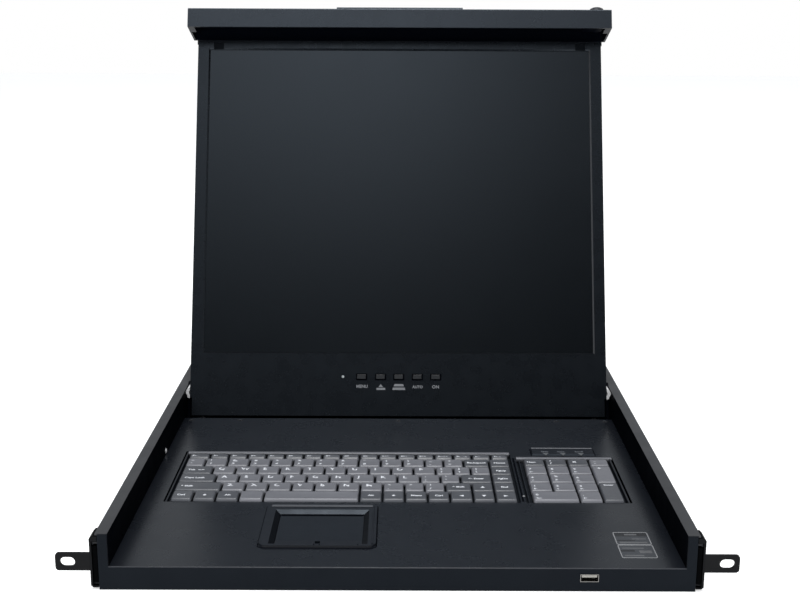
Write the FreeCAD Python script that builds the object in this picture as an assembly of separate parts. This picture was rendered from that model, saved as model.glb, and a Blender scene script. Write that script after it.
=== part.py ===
import FreeCAD, Part
import os, math
from FreeCAD import Vector, Placement, Rotation

# ---------------------------------------------------------------------------
# Rackmount LCD console drawer, 1U, 19-inch.  Millimetres.
# Working frame: X to the right, Y back into the rack, Z up; Y = 0 is the
# front of the tray fascia and Z = 0 the underside of the tray.  Every piece is
# moved by ORIGIN at export, so that the row's origin is the middle of the two
# rack ears, on the face that seats against the rack posts.
# ---------------------------------------------------------------------------

# overall
EAR_SPAN = 482.6          # over the ears
EAR_PITCH = 465.1         # between slot centres
EAR_Y0, EAR_T = 0.6, 2.0  # ear front face, sheet thickness
MID_Z = 21.0              # rack unit mid height
ORIGIN = Vector(0, -(EAR_Y0 + EAR_T), -MID_Z)

# tray
H = 42.0                  # top of side walls
WALL_IN = 203.95          # inner face of side wall
SHEET = 1.25
WALL_OUT = WALL_IN + SHEET
FLANGE_OUT = 212.8        # top flange edge
TRAY_Y1 = 445.0
DECK_Z = 17.6
DECK_Y1 = 318.0
FASCIA_OUT = 210.9        # raised ends of the fascia
FASCIA_T = 1.25

# telescopic slide, measured outwards from the side wall
SL_IN = (205.2, 206.2)    # inner member web
SL_MID = (212.2, 213.2)   # middle member web
SL_OUT = (214.2, 215.2)   # outer member web
BODY_OUT = 216.75         # outside of ear bracket leg
SLIDE_Y0, SLIDE_Y1 = 3.0, 443.0
BALL_R = 1.6

# rack ear
EAR_H = 13.4
SLOT_L, SLOT_R = 10.5, 3.5

# lid, in its own frame: x, v = depth behind the lid face, t = up the lid
LID_Y, LID_Z = 325.2, 17.9
LID_TILT = 20.59
LID_W = 400.3
LID_T = 16.0
LID_TOP = 372.0
HINGE_Y, HINGE_Z = 347.8, 39.5
HINGE_R = 3.0
APER_X, APER_T0, APER_T1 = 188.15, 61.2, 362.4
BAR_HALF, BAR_T0, BAR_T1 = 207.0, 376.6, 395.5
BAR_V0, BAR_V1 = -26.0, 16.0
BTN_X = (-35.5, -17.3, 0.2, 18.1, 35.8)
BTN_T = 37.5
LOCK_X, LOCK_V = 195.4, -5.0

# keyboard
KEY_TOP, KEY_BOT = 19.5, 15.5
KEY_GAP = 0.45
ROW_Y = (117.0, 135.5, 153.7, 171.6, 189.4, 207.6, 218.2)
KEY_ROWS = {
    "bottom_row_keys": (0, [-182.1, -164.3, -146.0, -127.4, -107.7, None, -30.9, -12.3, 5.6, 24.0, 41.9, 60.5, 78.3, 96.1]),
    "lower_letter_keys": (1, [-182.1, -144.2, -124.8, -106.2, -86.9, -68.4, -49.4, -30.8, -12.3, 5.4, 21.9, 38.7, 60.5, 78.3, 96.1]),
    "home_row_keys": (2, [-182.1, -151.4, -132.5, -113.3, -94.7, -75.9, -56.9, -38.1, -19.1, -0.5, 18.5, 35.4, 51.9, 78.3, 96.1]),
    "upper_letter_keys": (3, [-182.1, -156.5, -137.4, -118.9, -100.0, -81.3, -62.1, -43.6, -24.7, -5.8, 13.1, 31.9, 47.0, 61.6, 78.3, 96.1]),
    "number_row_keys": (4, [-182.1, -165.7, -146.5, -127.7, -109.4, -90.3, -71.6, -52.8, -33.9, -14.8, 4.0, 22.9, 39.0, 56.2, 78.3, 96.1]),
    "function_keys": (5, [-182.1, -163.6, -147.3, -131.0, -114.7, -98.4, -82.2, -65.9, -49.6, -33.3, -17.0, -0.7, 15.6, 31.6, 47.9, 64.2, 80.6, 96.1]),
}
SPACE_X = (-107.7, -30.9)
PAD_X = (108.0, 126.7, 145.8, 164.5, 181.7)
PAD_Y = (117.0, 136.5, 154.8, 173.4, 192.7, 208.8)
MAIN_CUT = (-186.8, 98.2, 116.3, 229.4)
PAD_CUT = (102.4, 187.0, 116.3, 218.4)
TP_OUT = (-102.2, -16.1, 32.1, 109.0)   # touchpad frame
TP_IN = (-91.3, -25.9, 36.0, 94.0)
BARX = (117.4, 172.8, 220.8, 236.8)     # indicator bar
LED_X = (129.9, 145.1, 160.8)
LED_Y = 224.4
USB_X, USB_Z = 135.65, 10.2

PARTS = {}


def box(x0, x1, y0, y1, z0, z1):
    return Part.makeBox(x1 - x0, y1 - y0, z1 - z0, Vector(x0, y0, z0))


def cyl(r, h, p, d):
    return Part.makeCylinder(r, h, Vector(*p), Vector(*d))


def cone(r1, r2, h, p, d):
    return Part.makeCone(r1, r2, h, Vector(*p), Vector(*d))


def fuse(*s):
    s = list(s)
    r = s[0]
    if len(s) > 1:
        r = r.fuse(s[1:])
    return r.removeSplitter()


def cut(a, *b):
    return a.cut(list(b))


def mirror(s):
    return s.mirror(Vector(0, 0, 0), Vector(1, 0, 0))


def frustum(x0, x1, y0, y1, z0, z1, ix0, ix1, iy0, iy1):
    """Box whose top is drawn in by ix0, ix1, iy0, iy1."""
    def loop(a, b, c, d, z):
        p = [Vector(a, c, z), Vector(b, c, z), Vector(b, d, z), Vector(a, d, z), Vector(a, c, z)]
        return Part.makePolygon(p)
    return Part.makeLoft([loop(x0, x1, y0, y1, z0),
                          loop(x0 + ix0, x1 - ix1, y0 + iy0, y1 - iy1, z1)], True, True)


def rbox(x0, x1, y0, y1, z0, z1, r):
    """Box with its four vertical edges rounded."""
    b = box(x0, x1, y0, y1, z0, z1)
    e = [k for k in b.Edges if abs(k.tangentAt(k.FirstParameter).z) > 0.9]
    return b.makeFillet(r, e)


def slot_y(x, z, half, length, y0, y1):
    """Slot running along X, cut through along Y."""
    h = length / 2 - half
    return fuse(box(x - h, x + h, y0, y1, z - half, z + half),
                cyl(half, y1 - y0, (x - h, y0, z), (0, 1, 0)),
                cyl(half, y1 - y0, (x + h, y0, z), (0, 1, 0)))


def csk(p, d, r_head, r_shank, l_head, l):
    """Countersunk screw: head face at p, shank along d."""
    v = Vector(*d)
    a = Vector(*p)
    head = Part.makeCone(r_head, r_shank, l_head, a, v)
    shank = Part.makeCylinder(r_shank, l, a, v)
    s = head.fuse(shank).removeSplitter()
    # driver recess
    c = Part.makeCylinder(r_head * 0.35, min(l_head * 0.8, 1.2), a - v * 0.01, v)
    return s.cut(c)


def pan(p, d, r_head, h_head, r_shank, l):
    """Pan head screw: seat at p, shank along d, head the other way."""
    v = Vector(*d)
    a = Vector(*p)
    head = Part.makeCylinder(r_head, h_head, a - v * h_head, v)
    try:
        e = [k for k in head.Edges if isinstance(k.Curve, Part.Circle) and (k.Curve.Center - (a - v * h_head)).Length < 1e-6]
        head = head.makeFillet(h_head * 0.45, e)
    except Exception:
        pass
    s = head.fuse(Part.makeCylinder(r_shank, l, a, v)).removeSplitter()
    c = Part.makeCylinder(r_head * 0.35, h_head * 0.6, a - v * (h_head + 0.01), v)
    return s.cut(c)


def rivet(p, d, r, h, r_shank, l):
    """Round-head rivet, seat at p."""
    v = Vector(*d)
    a = Vector(*p)
    low = Part.makeCone(r * 0.84, r, h * 0.5, a - v * (h * 0.5), v)
    top = Part.makeCone(r * 0.45, r * 0.84, h * 0.5, a - v * h, v)
    return top.fuse([low, Part.makeCylinder(r_shank, l, a, v)]).removeSplitter()


LIDP = Placement(Vector(0, LID_Y, LID_Z), Rotation(Vector(1, 0, 0), -LID_TILT))


def to_lid(s):
    """Lid frame to working frame: local Y is depth behind the face, local Z is up the lid."""
    s = s.copy()
    s.Placement = LIDP.multiply(s.Placement)
    return s


def add(name, *solids):
    PARTS[name] = list(solids)


# hinge axis in the lid frame
_s, _c = math.sin(math.radians(LID_TILT)), math.cos(math.radians(LID_TILT))
HT = _s * (HINGE_Y - LID_Y) + _c * (HINGE_Z - LID_Z)
HV = _c * (HINGE_Y - LID_Y) - _s * (HINGE_Z - LID_Z)

# ---------------------------------------------------------------- rack side
# ear bracket: tab in front of the rack post, leg along the slide
RS_Y = (32.0, 62.0)       # rail screw positions
tab = box(BODY_OUT - 1.5, EAR_SPAN / 2, EAR_Y0, EAR_Y0 + EAR_T, MID_Z - EAR_H / 2, MID_Z + EAR_H / 2)
ed = [k for k in tab.Edges if abs(k.tangentAt(k.FirstParameter).y) > 0.9 and k.CenterOfMass.x > 230]
tab = tab.makeFillet(2.6, ed)
tab = cut(tab, slot_y(EAR_PITCH / 2, MID_Z, SLOT_R, SLOT_L, EAR_Y0 - 1, EAR_Y0 + EAR_T + 1))
leg = fuse(box(BODY_OUT - 1.5, BODY_OUT, EAR_Y0 + EAR_T, 16.2, MID_Z - 5.6, MID_Z + 5.6),
           box(BODY_OUT - 1.5, BODY_OUT, 16.2, 78.0, 8.0, 31.0))
ear_r = fuse(tab, leg)
for y in RS_Y:
    ear_r = cut(ear_r, cone(3.35, 2.05, 1.5, (BODY_OUT, y, MID_Z), (-1, 0, 0)))

# fixed outer slide member: C channel open towards the drawer
outer = fuse(box(SL_OUT[0], SL_OUT[1], SLIDE_Y0, SLIDE_Y1, 3.0, 35.0),
             box(208.0, SL_OUT[0], SLIDE_Y0, SLIDE_Y1, 33.7, 35.0),
             box(208.0, SL_OUT[0], SLIDE_Y0, SLIDE_Y1, 3.0, 4.3))
for y in RS_Y:
    outer = cut(outer, cyl(2.05, 3, (213.5, y, MID_Z), (1, 0, 0)))
REAR_HOLE_Y = (395.0, 425.0)
for y in REAR_HOLE_Y:
    outer = cut(outer, cyl(2.25, 3, (213.5, y, MID_Z), (1, 0, 0)))
add("outer_slide_right", outer)
add("outer_slide_left", mirror(outer))

# folded hood round the slide mouth, one piece with the ear: top, bottom and outer wall
cap = fuse(box(211.3, BODY_OUT, 0.2, 15.4, 36.6, 40.3),
           box(211.3, BODY_OUT, 0.2, 15.4, 1.5, 2.8),
           box(BODY_OUT - 1.5, BODY_OUT, 0.2, 15.4, 2.8, 36.6))
wedge_top = Part.makePolygon([Vector(217.0, -1, 38.3), Vector(217.0, -1, 40.6), Vector(214.6, -1, 40.6), Vector(217.0, -1, 38.3)])
wedge_bot = Part.makePolygon([Vector(217.0, -1, 3.4), Vector(217.0, -1, 1.2), Vector(214.8, -1, 1.2), Vector(217.0, -1, 3.4)])
cap = cut(cap, Part.Face(wedge_top).extrude(Vector(0, 18, 0)), Part.Face(wedge_bot).extrude(Vector(0, 18, 0)))
ear_r = fuse(ear_r, cap)
add("ear_bracket_right", ear_r)
add("ear_bracket_left", mirror(ear_r))

# countersunk screws that hold ear and slide together
scr = []
for y in RS_Y:
    s = csk((BODY_OUT - 0.02, y, MID_Z), (-1, 0, 0), 3.3, 1.95, 1.4, 2.5)
    scr += [s, mirror(s)]
add("rail_screws", *scr)

# ---------------------------------------------------------------- telescopic slides
mid = fuse(box(SL_MID[0], SL_MID[1], SLIDE_Y0, SLIDE_Y1, 7.6, 30.4),
           box(207.6, SL_MID[0], SLIDE_Y0, SLIDE_Y1, 29.2, 30.4),
           box(207.6, SL_MID[0], SLIDE_Y0, SLIDE_Y1, 7.6, 8.8))
for y in (60, 200, 340):
    mid = cut(mid, cyl(3.0, 3, (211.5, y, 19), (1, 0, 0)))
add("middle_slide_right", mid)
add("middle_slide_left", mirror(mid))

# soft bumper on the front end of each middle member
bump = rbox(211.35, 214.85, 0.9, 2.95, 5.0, 33.0, 0.6)
add("slide_bumpers", bump, mirror(bump))


def cage(x_web0, x_web1, x_tip, z_bot, z_top, x_ball, zs, y0, y1, n):
    t = 0.6
    c = fuse(box(x_web0, x_web1, y0, y1, z_bot - t / 2, z_top + t / 2),
             box(x_tip, x_web0, y0, y1, z_top - t / 2, z_top + t / 2),
             box(x_tip, x_web0, y0, y1, z_bot - t / 2, z_bot + t / 2))
    balls = []
    for i in range(n):
        y = y0 + (i + 0.5) * (y1 - y0) / n
        c = c.cut([cyl(BALL_R + 0.06, 2, (x_ball, y, zs[0] - 1), (0, 0, 1)),
                   cyl(BALL_R + 0.06, 2, (x_ball, y, zs[1] - 1), (0, 0, 1))])
        balls += [Part.makeSphere(BALL_R, Vector(x_ball, y, zs[0])), Part.makeSphere(BALL_R, Vector(x_ball, y, zs[1]))]
    # lighten the web
    for i in range(1, n):
        y = y0 + i * (y1 - y0) / n
        c = c.cut(box(x_web0 - 1, x_web1 + 1, y - 6, y + 6, z_bot + 5, z_top - 5))
    return c, balls


c1, b1 = cage(213.45, 213.95, 208.6, 5.95, 32.05, 211.0, (5.95, 32.05), 110.0, 310.0, 6)
add("outer_ball_cages", c1, mirror(c1), *(b1 + [mirror(b) for b in b1]))
c2, b2 = cage(211.5, 211.95, 207.2, 10.45, 27.55, 209.2, (10.45, 27.55), 110.0, 310.0, 6)
add("inner_ball_cages", c2, mirror(c2), *(b2 + [mirror(b) for b in b2]))

inner = fuse(box(SL_IN[0], SL_IN[1], SLIDE_Y0, SLIDE_Y1, 12.1, 25.9),
             box(SL_IN[1], 211.0, SLIDE_Y0, SLIDE_Y1, 24.7, 25.9),
             box(SL_IN[1], 211.0, SLIDE_Y0, SLIDE_Y1, 12.1, 13.3))
RIV = ((50.0, 20.4), (222.6, 20.4), (400.0, 20.4))
for y, z in RIV:
    inner = cut(inner, cyl(1.55, 3, (204.5, y, z), (1, 0, 0)))
add("inner_slide_right", inner)
add("inner_slide_left", mirror(inner))

# ---------------------------------------------------------------- tray
pan_ = fuse(box(-WALL_OUT, WALL_OUT, FASCIA_T + 0.05, TRAY_Y1, 0, SHEET),
            box(WALL_IN, WALL_OUT, FASCIA_T + 0.05, TRAY_Y1, SHEET, H),
            box(-WALL_OUT, -WALL_IN, FASCIA_T + 0.05, TRAY_Y1, SHEET, H),
            box(WALL_OUT, FLANGE_OUT, FASCIA_T + 0.05, TRAY_Y1, H - SHEET, H),
            box(-FLANGE_OUT, -WALL_OUT, FASCIA_T + 0.05, TRAY_Y1, H - SHEET, H),
            box(-WALL_IN, WALL_IN, TRAY_Y1 - SHEET, TRAY_Y1, SHEET, H))
cuts = [box(118.5, 146.5, 440, 450, 9.0, 29.5),      # power inlet
        box(-92.2, -59.8, 440, 450, 11.0, 23.5),      # video socket
        box(-41.6, -25.4, 440, 450, 8.6, 21.4)]       # data socket
for y, z in RIV:
    for sx in (1, -1):
        cuts.append(cyl(1.55, 4, (sx * 202.5, y, z), (sx, 0, 0)))
# vent slots in the rear wall and floor under the rear bay
for i in range(9):
    x = 10 + i * 11
    cuts.append(box(x, x + 4.5, 440, 450, 12, 30))
for i in range(12):
    x = -176 + i * 11
    cuts.append(box(x, x + 4.5, 392, 432, -1, 2))
pan_ = cut(pan_, *cuts)
# pressed-in standoffs that take the deck screws
for x in (-196.0, -150.0, 0.0, 150.0, 196.0):
    pan_ = fuse(pan_, cyl(3.0, DECK_Z - 2 * SHEET - 0.02, (x, 312.0, SHEET), (0, 0, 1)))
    pan_ = cut(pan_, cyl(1.55, 7.5, (x, 312.0, DECK_Z - SHEET - 7.4), (0, 0, 1)))
add("tray_pan", pan_)

# folded front fascia with raised ends that cover the slide fronts
fas = fuse(box(-FASCIA_OUT, FASCIA_OUT, 0, FASCIA_T, 0, DECK_Z),
           box(WALL_IN + 0.05, FASCIA_OUT, 0, FASCIA_T, DECK_Z, H),
           box(-FASCIA_OUT, -WALL_IN - 0.05, 0, FASCIA_T, DECK_Z, H))
e = [k for k in fas.Edges if abs(k.tangentAt(k.FirstParameter).x) > 0.9 and k.CenterOfMass.y < 0.01
     and abs(k.CenterOfMass.z - DECK_Z) < 0.01 and k.Length > 300]
fas = fas.makeFillet(0.9, e)
fas = cut(fas, box(USB_X - 6.75, USB_X + 6.75, -1, 3, USB_Z - 3.05, USB_Z + 3.05))
add("front_fascia", fas)

# keyboard deck
deck = fuse(box(-WALL_IN + 0.35, WALL_IN - 0.35, FASCIA_T + 0.05, DECK_Y1, DECK_Z - SHEET, DECK_Z),
            box(-WALL_IN + 0.35, WALL_IN - 0.35, DECK_Y1 - SHEET, DECK_Y1, SHEET + 0.05, DECK_Z - SHEET),
            box(-WALL_IN + 0.35, WALL_IN - 0.35, FASCIA_T + 0.05, FASCIA_T + 0.05 + SHEET, SHEET + 0.05, DECK_Z - SHEET))
deck = cut(deck,
           rbox(MAIN_CUT[0], MAIN_CUT[1], MAIN_CUT[2], MAIN_CUT[3], 14, 19, 1.5),
           rbox(PAD_CUT[0], PAD_CUT[1], PAD_CUT[2], PAD_CUT[3], 14, 19, 1.5),
           rbox(TP_OUT[0] + 3, TP_OUT[1] - 3, TP_OUT[2] + 3, TP_OUT[3] - 3, 14, 19, 4),
           box(BARX[0] + 2, BARX[1] - 2, BARX[2] + 1.4, BARX[3] - 2, 14, 19),
           box(99.4, 101.0, 118.5, 215.0, DECK_Z - 0.6, 19),
           box(USB_X - 7.0, USB_X + 7.0, 1, 3, USB_Z - 3.3, USB_Z + 3.3))
DSX = (-196.0, -150.0, 0.0, 150.0, 196.0)
for x in DSX:
    deck = cut(deck, cyl(1.6, 4, (x, 312.0, 15), (0, 0, 1)), cone(2.95, 1.6, 1.05, (x, 312.0, DECK_Z), (0, 0, -1)))
add("deck_plate", deck)

# ---------------------------------------------------------------- keyboard
base = fuse(box(-186.0, 186.0, 112.0, 231.0, 11.4, 13.2))
RIM_Z = 17.3
ribs = [box(99.6, 101.0, 112.0, 226.0, 13.2, 16.2),
        box(-185.4, -184.2, 116.9, 228.9, 13.2, RIM_Z),
        box(184.0, 185.3, 116.9, 217.9, 13.2, RIM_Z),
        box(-184.2, 97.6, 227.7, 228.9, 13.2, RIM_Z),
        box(103.0, 184.0, 216.7, 217.9, 13.2, RIM_Z)]
posts = []
for x in (-170, -60, 60, 170):
    for y in (125, 205):
        posts.append(cyl(3.5, 10.1, (x, y, 1.3), (0, 0, 1)))
base = fuse(base, *(ribs + posts))
add("keyboard_base", base)


def keycap(x0, x1, y0, y1):
    g = KEY_GAP
    return frustum(x0 + g, x1 - g, y0 + g, y1 - g, KEY_BOT, KEY_TOP, 0.9, 0.9, 1.4, 0.5)


for nm, (r, xs) in KEY_ROWS.items():
    caps = []
    for a, b in zip(xs[:-1], xs[1:]):
        if a is None or b is None:
            continue
        caps.append(keycap(a, b, ROW_Y[r], ROW_Y[r + 1]))
    add(nm, *caps)
add("space_bar", keycap(SPACE_X[0], SPACE_X[1], ROW_Y[0], ROW_Y[1]))
npk = []
for r in range(1, 5):
    for c in range(3):
        npk.append(keycap(PAD_X[c], PAD_X[c + 1], PAD_Y[r], PAD_Y[r + 1]))
npk.append(keycap(PAD_X[0], PAD_X[2], PAD_Y[0], PAD_Y[1]))
npk.append(keycap(PAD_X[2], PAD_X[3], PAD_Y[0], PAD_Y[1]))
npk.append(keycap(PAD_X[3], PAD_X[4], PAD_Y[4], PAD_Y[5]))
npk.append(keycap(PAD_X[3], PAD_X[4], PAD_Y[2], PAD_Y[4]))      # tall plus key
npk.append(keycap(PAD_X[3], PAD_X[4], PAD_Y[0], PAD_Y[2]))      # tall enter key
add("number_pad_keys", *npk)

# lock light bar above the number pad
ib = frustum(BARX[0], BARX[1], BARX[2], BARX[3], DECK_Z + 0.02, DECK_Z + 1.4, 0.8, 0.8, 1.2, 0.6)
ib = fuse(ib, box(BARX[0] + 2.2, BARX[1] - 2.2, BARX[2] + 1.6, BARX[3] - 2.2, 13.4, DECK_Z + 0.05))
leds = []
for x in LED_X:
    ib = cut(ib, cyl(0.95, 8, (x, LED_Y, 12.5), (0, 0, 1)))
    leds.append(cyl(0.9, 5.7, (x, LED_Y, 13.4), (0, 0, 1)))
add("indicator_bar", ib)
add("indicator_lights", *leds)

# ---------------------------------------------------------------- touchpad
x0, x1, y0, y1 = TP_OUT
fr = rbox(x0, x1, y0, y1, DECK_Z + 0.02, DECK_Z + 1.9, 6.0)
fr = fuse(fr, rbox(x0 + 3.3, x1 - 3.3, y0 + 3.3, y1 - 3.3, 12.4, DECK_Z + 0.05, 3.7))
a0, a1, b0, b1_ = TP_IN
fr = cut(fr, rbox(a0, a1, b0 + 0.3, b1_, 13.6, 25, 2.0))
# splayed inner bevel
bev = frustum(a0 - 4.2, a1 + 4.2, b0 - 1.3, b1_ + 3.7, DECK_Z + 2.2, DECK_Z - 0.6, 4.2, 4.2, 1.7, 3.7)
fr = cut(fr, bev)
add("touchpad_frame", fr)
add("touchpad_surface", fuse(rbox(a0 + 0.3, a1 - 0.3, 46.2, b1_ - 0.3, 14.9, 16.3, 1.5),
                             box(a0 + 1.2, a1 - 1.2, b0 + 2, b1_ - 1.5, 13.65, 14.9)))
bz0, bz1 = 15.6, 17.0
for nm, xa, xb in (("touchpad_button_left", -90.9, -61.3), ("touchpad_button_right", -57.3, -26.3)):
    add(nm, fuse(rbox(xa, xb, 36.8, 45.8, bz0, bz1, 0.8)))

# ---------------------------------------------------------------- front data socket
sh = cut(box(USB_X - 6.55, USB_X + 6.55, -0.35, 14.0, USB_Z - 2.85, USB_Z + 2.85),
         box(USB_X - 6.2, USB_X + 6.2, -1, 13.4, USB_Z - 2.5, USB_Z + 2.5))
add("data_socket", sh, fuse(box(USB_X - 5.4, USB_X + 5.4, 0.6, 13.35, USB_Z + 0.15, USB_Z + 1.9),
                            box(USB_X - 6.1, USB_X + 6.1, 11.4, 13.35, USB_Z - 2.4, USB_Z + 2.4)))
sb = fuse(box(118.0, 153.0, 4.0, 27.0, 5.7, 7.3), box(USB_X - 3, USB_X + 5, 17, 24, 7.3, 9.0))
for x in (121.0, 150.0):
    for y in (8.0, 24.0):
        sb = fuse(sb, cyl(2.2, 4.45, (x, y, 1.27), (0, 0, 1)))
add("socket_board", sb)

# ---------------------------------------------------------------- rear bay
RB_Y = 379.0
rc = fuse(box(-WALL_IN + 0.4, WALL_IN - 0.4, RB_Y, TRAY_Y1 - SHEET - 0.1, H - 1.3, H - 0.1),
          box(-WALL_IN + 0.4, WALL_IN - 0.4, RB_Y, RB_Y + 1.2, SHEET + 0.05, H - 1.3))
for i in range(14):
    x = -170 + i * 11
    rc = cut(rc, box(x, x + 4.5, 400, 430, 38, 45))
add("rear_cover", rc)


def board(x0, x1, y0, y1, z, chips):
    b = box(x0, x1, y0, y1, z, z + 1.6)
    st = [cyl(2.2, z - SHEET, (x, y, SHEET + 0.02), (0, 0, 1)) for x in (x0 + 5, x1 - 5) for y in (y0 + 5, y1 - 5)]
    ch = [box(*c[:4], z + 1.6, z + 1.6 + c[4]) for c in chips]
    return fuse(b, *(st + ch))


add("control_board", board(-190, -20, 386, 430, 6.0,
                           [(-150, -130, 396, 416, 2.0), (-110, -96, 398, 412, 2.0), (-180, -164, 392, 420, 8.0), (-50, -40, 395, 405, 6.0)]))
add("power_board", board(30, 190, 384, 424, 6.0,
                         [(40, 66, 390, 416, 22.0), (76, 90, 392, 406, 20.0), (100, 128, 390, 412, 18.0), (165, 180, 392, 416, 14.0)]))
vs = fuse(box(-91.9, -60.1, 436.5, 446.6, 11.3, 23.2), box(-88.0, -64.0, 426.0, 436.5, 9.4, 20.0))
vs = cut(vs, box(-85.6, -66.4, 440.5, 448, 13.6, 20.9))
ds = cut(box(-41.3, -25.7, 428.0, 445.6, 8.9, 21.1), box(-39.3, -27.7, 434, 447, 11.0, 19.2))
add("rear_sockets", vs, ds)
pi = fuse(box(118.8, 146.2, 424.3, 445.6, 9.3, 29.2), box(116.2, 148.8, 445.1, 447.0, 7.2, 31.3))
pi = cut(pi, box(120.8, 144.2, 429.0, 448.0, 11.6, 27.0))
for x, z in ((126.0, 21.8), (139.0, 21.8), (132.5, 16.6)):
    pi = fuse(pi, box(x - 1.0, x + 1.0, 428.9, 443.5, z - 2.0, z + 2.0))
add("power_inlet", pi)

# ---------------------------------------------------------------- hinges
def bracket():
    # plate between the side wall and the lid edge, rounded round the pin, with a foot
    xa, xb = 200.75, 203.65
    ppts = [(331.0, 1.3), (364.0, 1.3), (364.0, 8.0), (356.0, 30.0), (353.3, 39.5), (342.3, 39.5), (336.0, 20.0), (331.0, 8.0), (331.0, 1.3)]
    w = Part.makePolygon([Vector(xa, y, z) for y, z in ppts])
    pl = Part.Face(w).extrude(Vector(xb - xa, 0, 0))
    pl = fuse(pl, cyl(5.5, xb - xa, (xa, HINGE_Y, HINGE_Z), (1, 0, 0)),
              box(186.0, xa, 331.0, 364.0, 1.3, 3.3))
    pl = cut(pl, cyl(HINGE_R + 0.02, 10, (xa - 3, HINGE_Y, HINGE_Z), (1, 0, 0)))
    for y in (338.0, 357.0):
        pl = cut(pl, cyl(1.6, 4, (193.0, y, 0.5), (0, 0, 1)))
    return pl


br = bracket()
add("hinge_bracket_right", br)
add("hinge_bracket_left", mirror(br))
pin = fuse(cyl(HINGE_R, 203.6 - 183.2, (183.2, HINGE_Y, HINGE_Z), (1, 0, 0)),
           cyl(3.9, 1.2, (182.0, HINGE_Y, HINGE_Z), (1, 0, 0)))
add("hinge_pins", pin, mirror(pin))

# barrel with its leaf, fixed inside the lid
BARREL_R = 4.4
lf_barrel = cyl(BARREL_R, 12.8, (186.4, HV, HT), (1, 0, 0))
lf = fuse(lf_barrel,
          box(186.4, 198.7, 10.2, 14.7, HT, HT + 6.0),
          box(176.0, 198.7, 12.9, 14.75, HT + 5.4, 58.0))
lf = cut(lf, cyl(HINGE_R + 0.05, 20, (184, HV, HT), (1, 0, 0)))
for t in (40.0, 52.0):
    lf = cut(lf, cyl(1.6, 4, (187.0, 12, t), (0, 1, 0)))
add("hinge_leaf_right", to_lid(lf))
add("hinge_leaf_left", to_lid(mirror(lf)))

# ---------------------------------------------------------------- lid
hw = LID_W / 2
S2 = 1.2
STEP_X, STEP_T = 198.2, 17.4
shell = fuse(box(-hw, hw, LID_T - S2, LID_T, 0, LID_TOP),
             box(-hw, -hw + S2, 2.0, LID_T - S2, 0, LID_TOP),
             box(hw - S2, hw, 2.0, LID_T - S2, 0, LID_TOP),
             box(-hw + S2, hw - S2, 2.0, LID_T - S2, 0, S2),
             box(-hw + S2, hw - S2, 2.0, LID_T - S2, LID_TOP - S2, LID_TOP))
for sx in (1, -1):
    a, b = (181.2, 201.0) if sx > 0 else (-201.0, -181.2)
    shell = cut(shell, box(a, b, 8.8, 17, HT - 5.2, HT + 5.2))
    # the lower corners step in, clear of the hinge links
    a, b = (STEP_X, hw + 1) if sx > 0 else (-hw - 1, -STEP_X)
    shell = cut(shell, box(a, b, 0, 17, -1, STEP_T))
    a, b = (STEP_X - S2, STEP_X) if sx > 0 else (-STEP_X, -STEP_X + S2)
    shell = fuse(shell, box(a, b, 2.0, LID_T - S2, S2, STEP_T + S2))
    a, b = (STEP_X, hw - S2) if sx > 0 else (-hw + S2, -STEP_X)
    shell = fuse(shell, box(a, b, 2.0, LID_T - S2, STEP_T, STEP_T + S2))
# vent grid in the back
for i in range(16):
    for j in range(3):
        x = -150 + i * 9
        t = 300 + j * 14
        shell = cut(shell, box(x, x + 4.5, 14, 17, t, t + 9))
TABX = (-150.0, 0.0, 150.0)
for x in TABX:
    shell = cut(shell, cyl(1.7, 4, (x, 14, 366.0), (0, 1, 0)))
add("lid_back_shell", to_lid(shell))

bez = cut(box(-hw, hw, 0, 1.9, 0, 371.0), box(-APER_X, APER_X, -1, 3, APER_T0, APER_T1))
# splayed edge round the screen
def yloop(x, t0, t1, y):
    return Part.makePolygon([Vector(-x, y, t0), Vector(x, y, t0), Vector(x, y, t1), Vector(-x, y, t1), Vector(-x, y, t0)])


bez = cut(bez, Part.makeLoft([yloop(APER_X + 1.6, APER_T0 - 1.6, APER_T1 + 1.6, -0.3),
                              yloop(APER_X - 0.2, APER_T0 + 0.2, APER_T1 - 0.2, 1.5)], True, True))
for sx in (1, -1):
    a, b = (STEP_X, hw + 1) if sx > 0 else (-hw - 1, -STEP_X)
    bez = cut(bez, box(a, b, -1, 3, -1, STEP_T))
    # shallow relief in each upper corner, above the screen edge
    a, b = (174.6, 184.6) if sx > 0 else (-184.6, -174.6)
    bez = cut(bez, box(a, b, -1, 1.0, APER_T1 - 0.5, 369.6))
for x in BTN_X:
    bez = cut(bez, box(x - 5.1, x + 5.1, -1, 3, BTN_T - 2.9, BTN_T + 2.9))
bez = cut(bez, cyl(1.35, 4, (-53.3, -1, BTN_T), (0, 1, 0)))
add("lid_bezel", to_lid(bez))
for i, x in enumerate(BTN_X):
    b = fuse(box(x - 4.2, x + 4.2, -0.7, 2.15, BTN_T - 2.15, BTN_T + 2.15),
             box(x - 5.8, x + 5.8, 2.15, 2.75, BTN_T - 3.5, BTN_T + 3.5),
             cyl(0.9, 1.0, (x, 2.75, BTN_T), (0, 1, 0)))
    e = [k for k in b.Edges if k.CenterOfMass.y < -0.65]
    b = b.makeFillet(0.35, e)
    add("menu_button_%d" % (i + 1), to_lid(b))
bb = fuse(box(-60, 46, 6.2, 7.8, 29.5, 45.5))
for x in BTN_X:
    bb = fuse(bb, box(x - 3, x + 3, 4.4, 6.2, BTN_T - 3, BTN_T + 3))
bb = fuse(bb, cyl(2.2, 7.0, (-44, 7.8, 33.0), (0, 1, 0)), cyl(2.2, 7.0, (42, 7.8, 33.0), (0, 1, 0)))
add("button_board", to_lid(bb))
pl_ = fuse(cyl(1.25, 4.0, (-53.3, -0.3, BTN_T), (0, 1, 0)), box(-54.8, -51.8, 3.7, 6.15, BTN_T - 1.5, BTN_T + 1.5))
add("power_light", to_lid(pl_))
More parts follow.
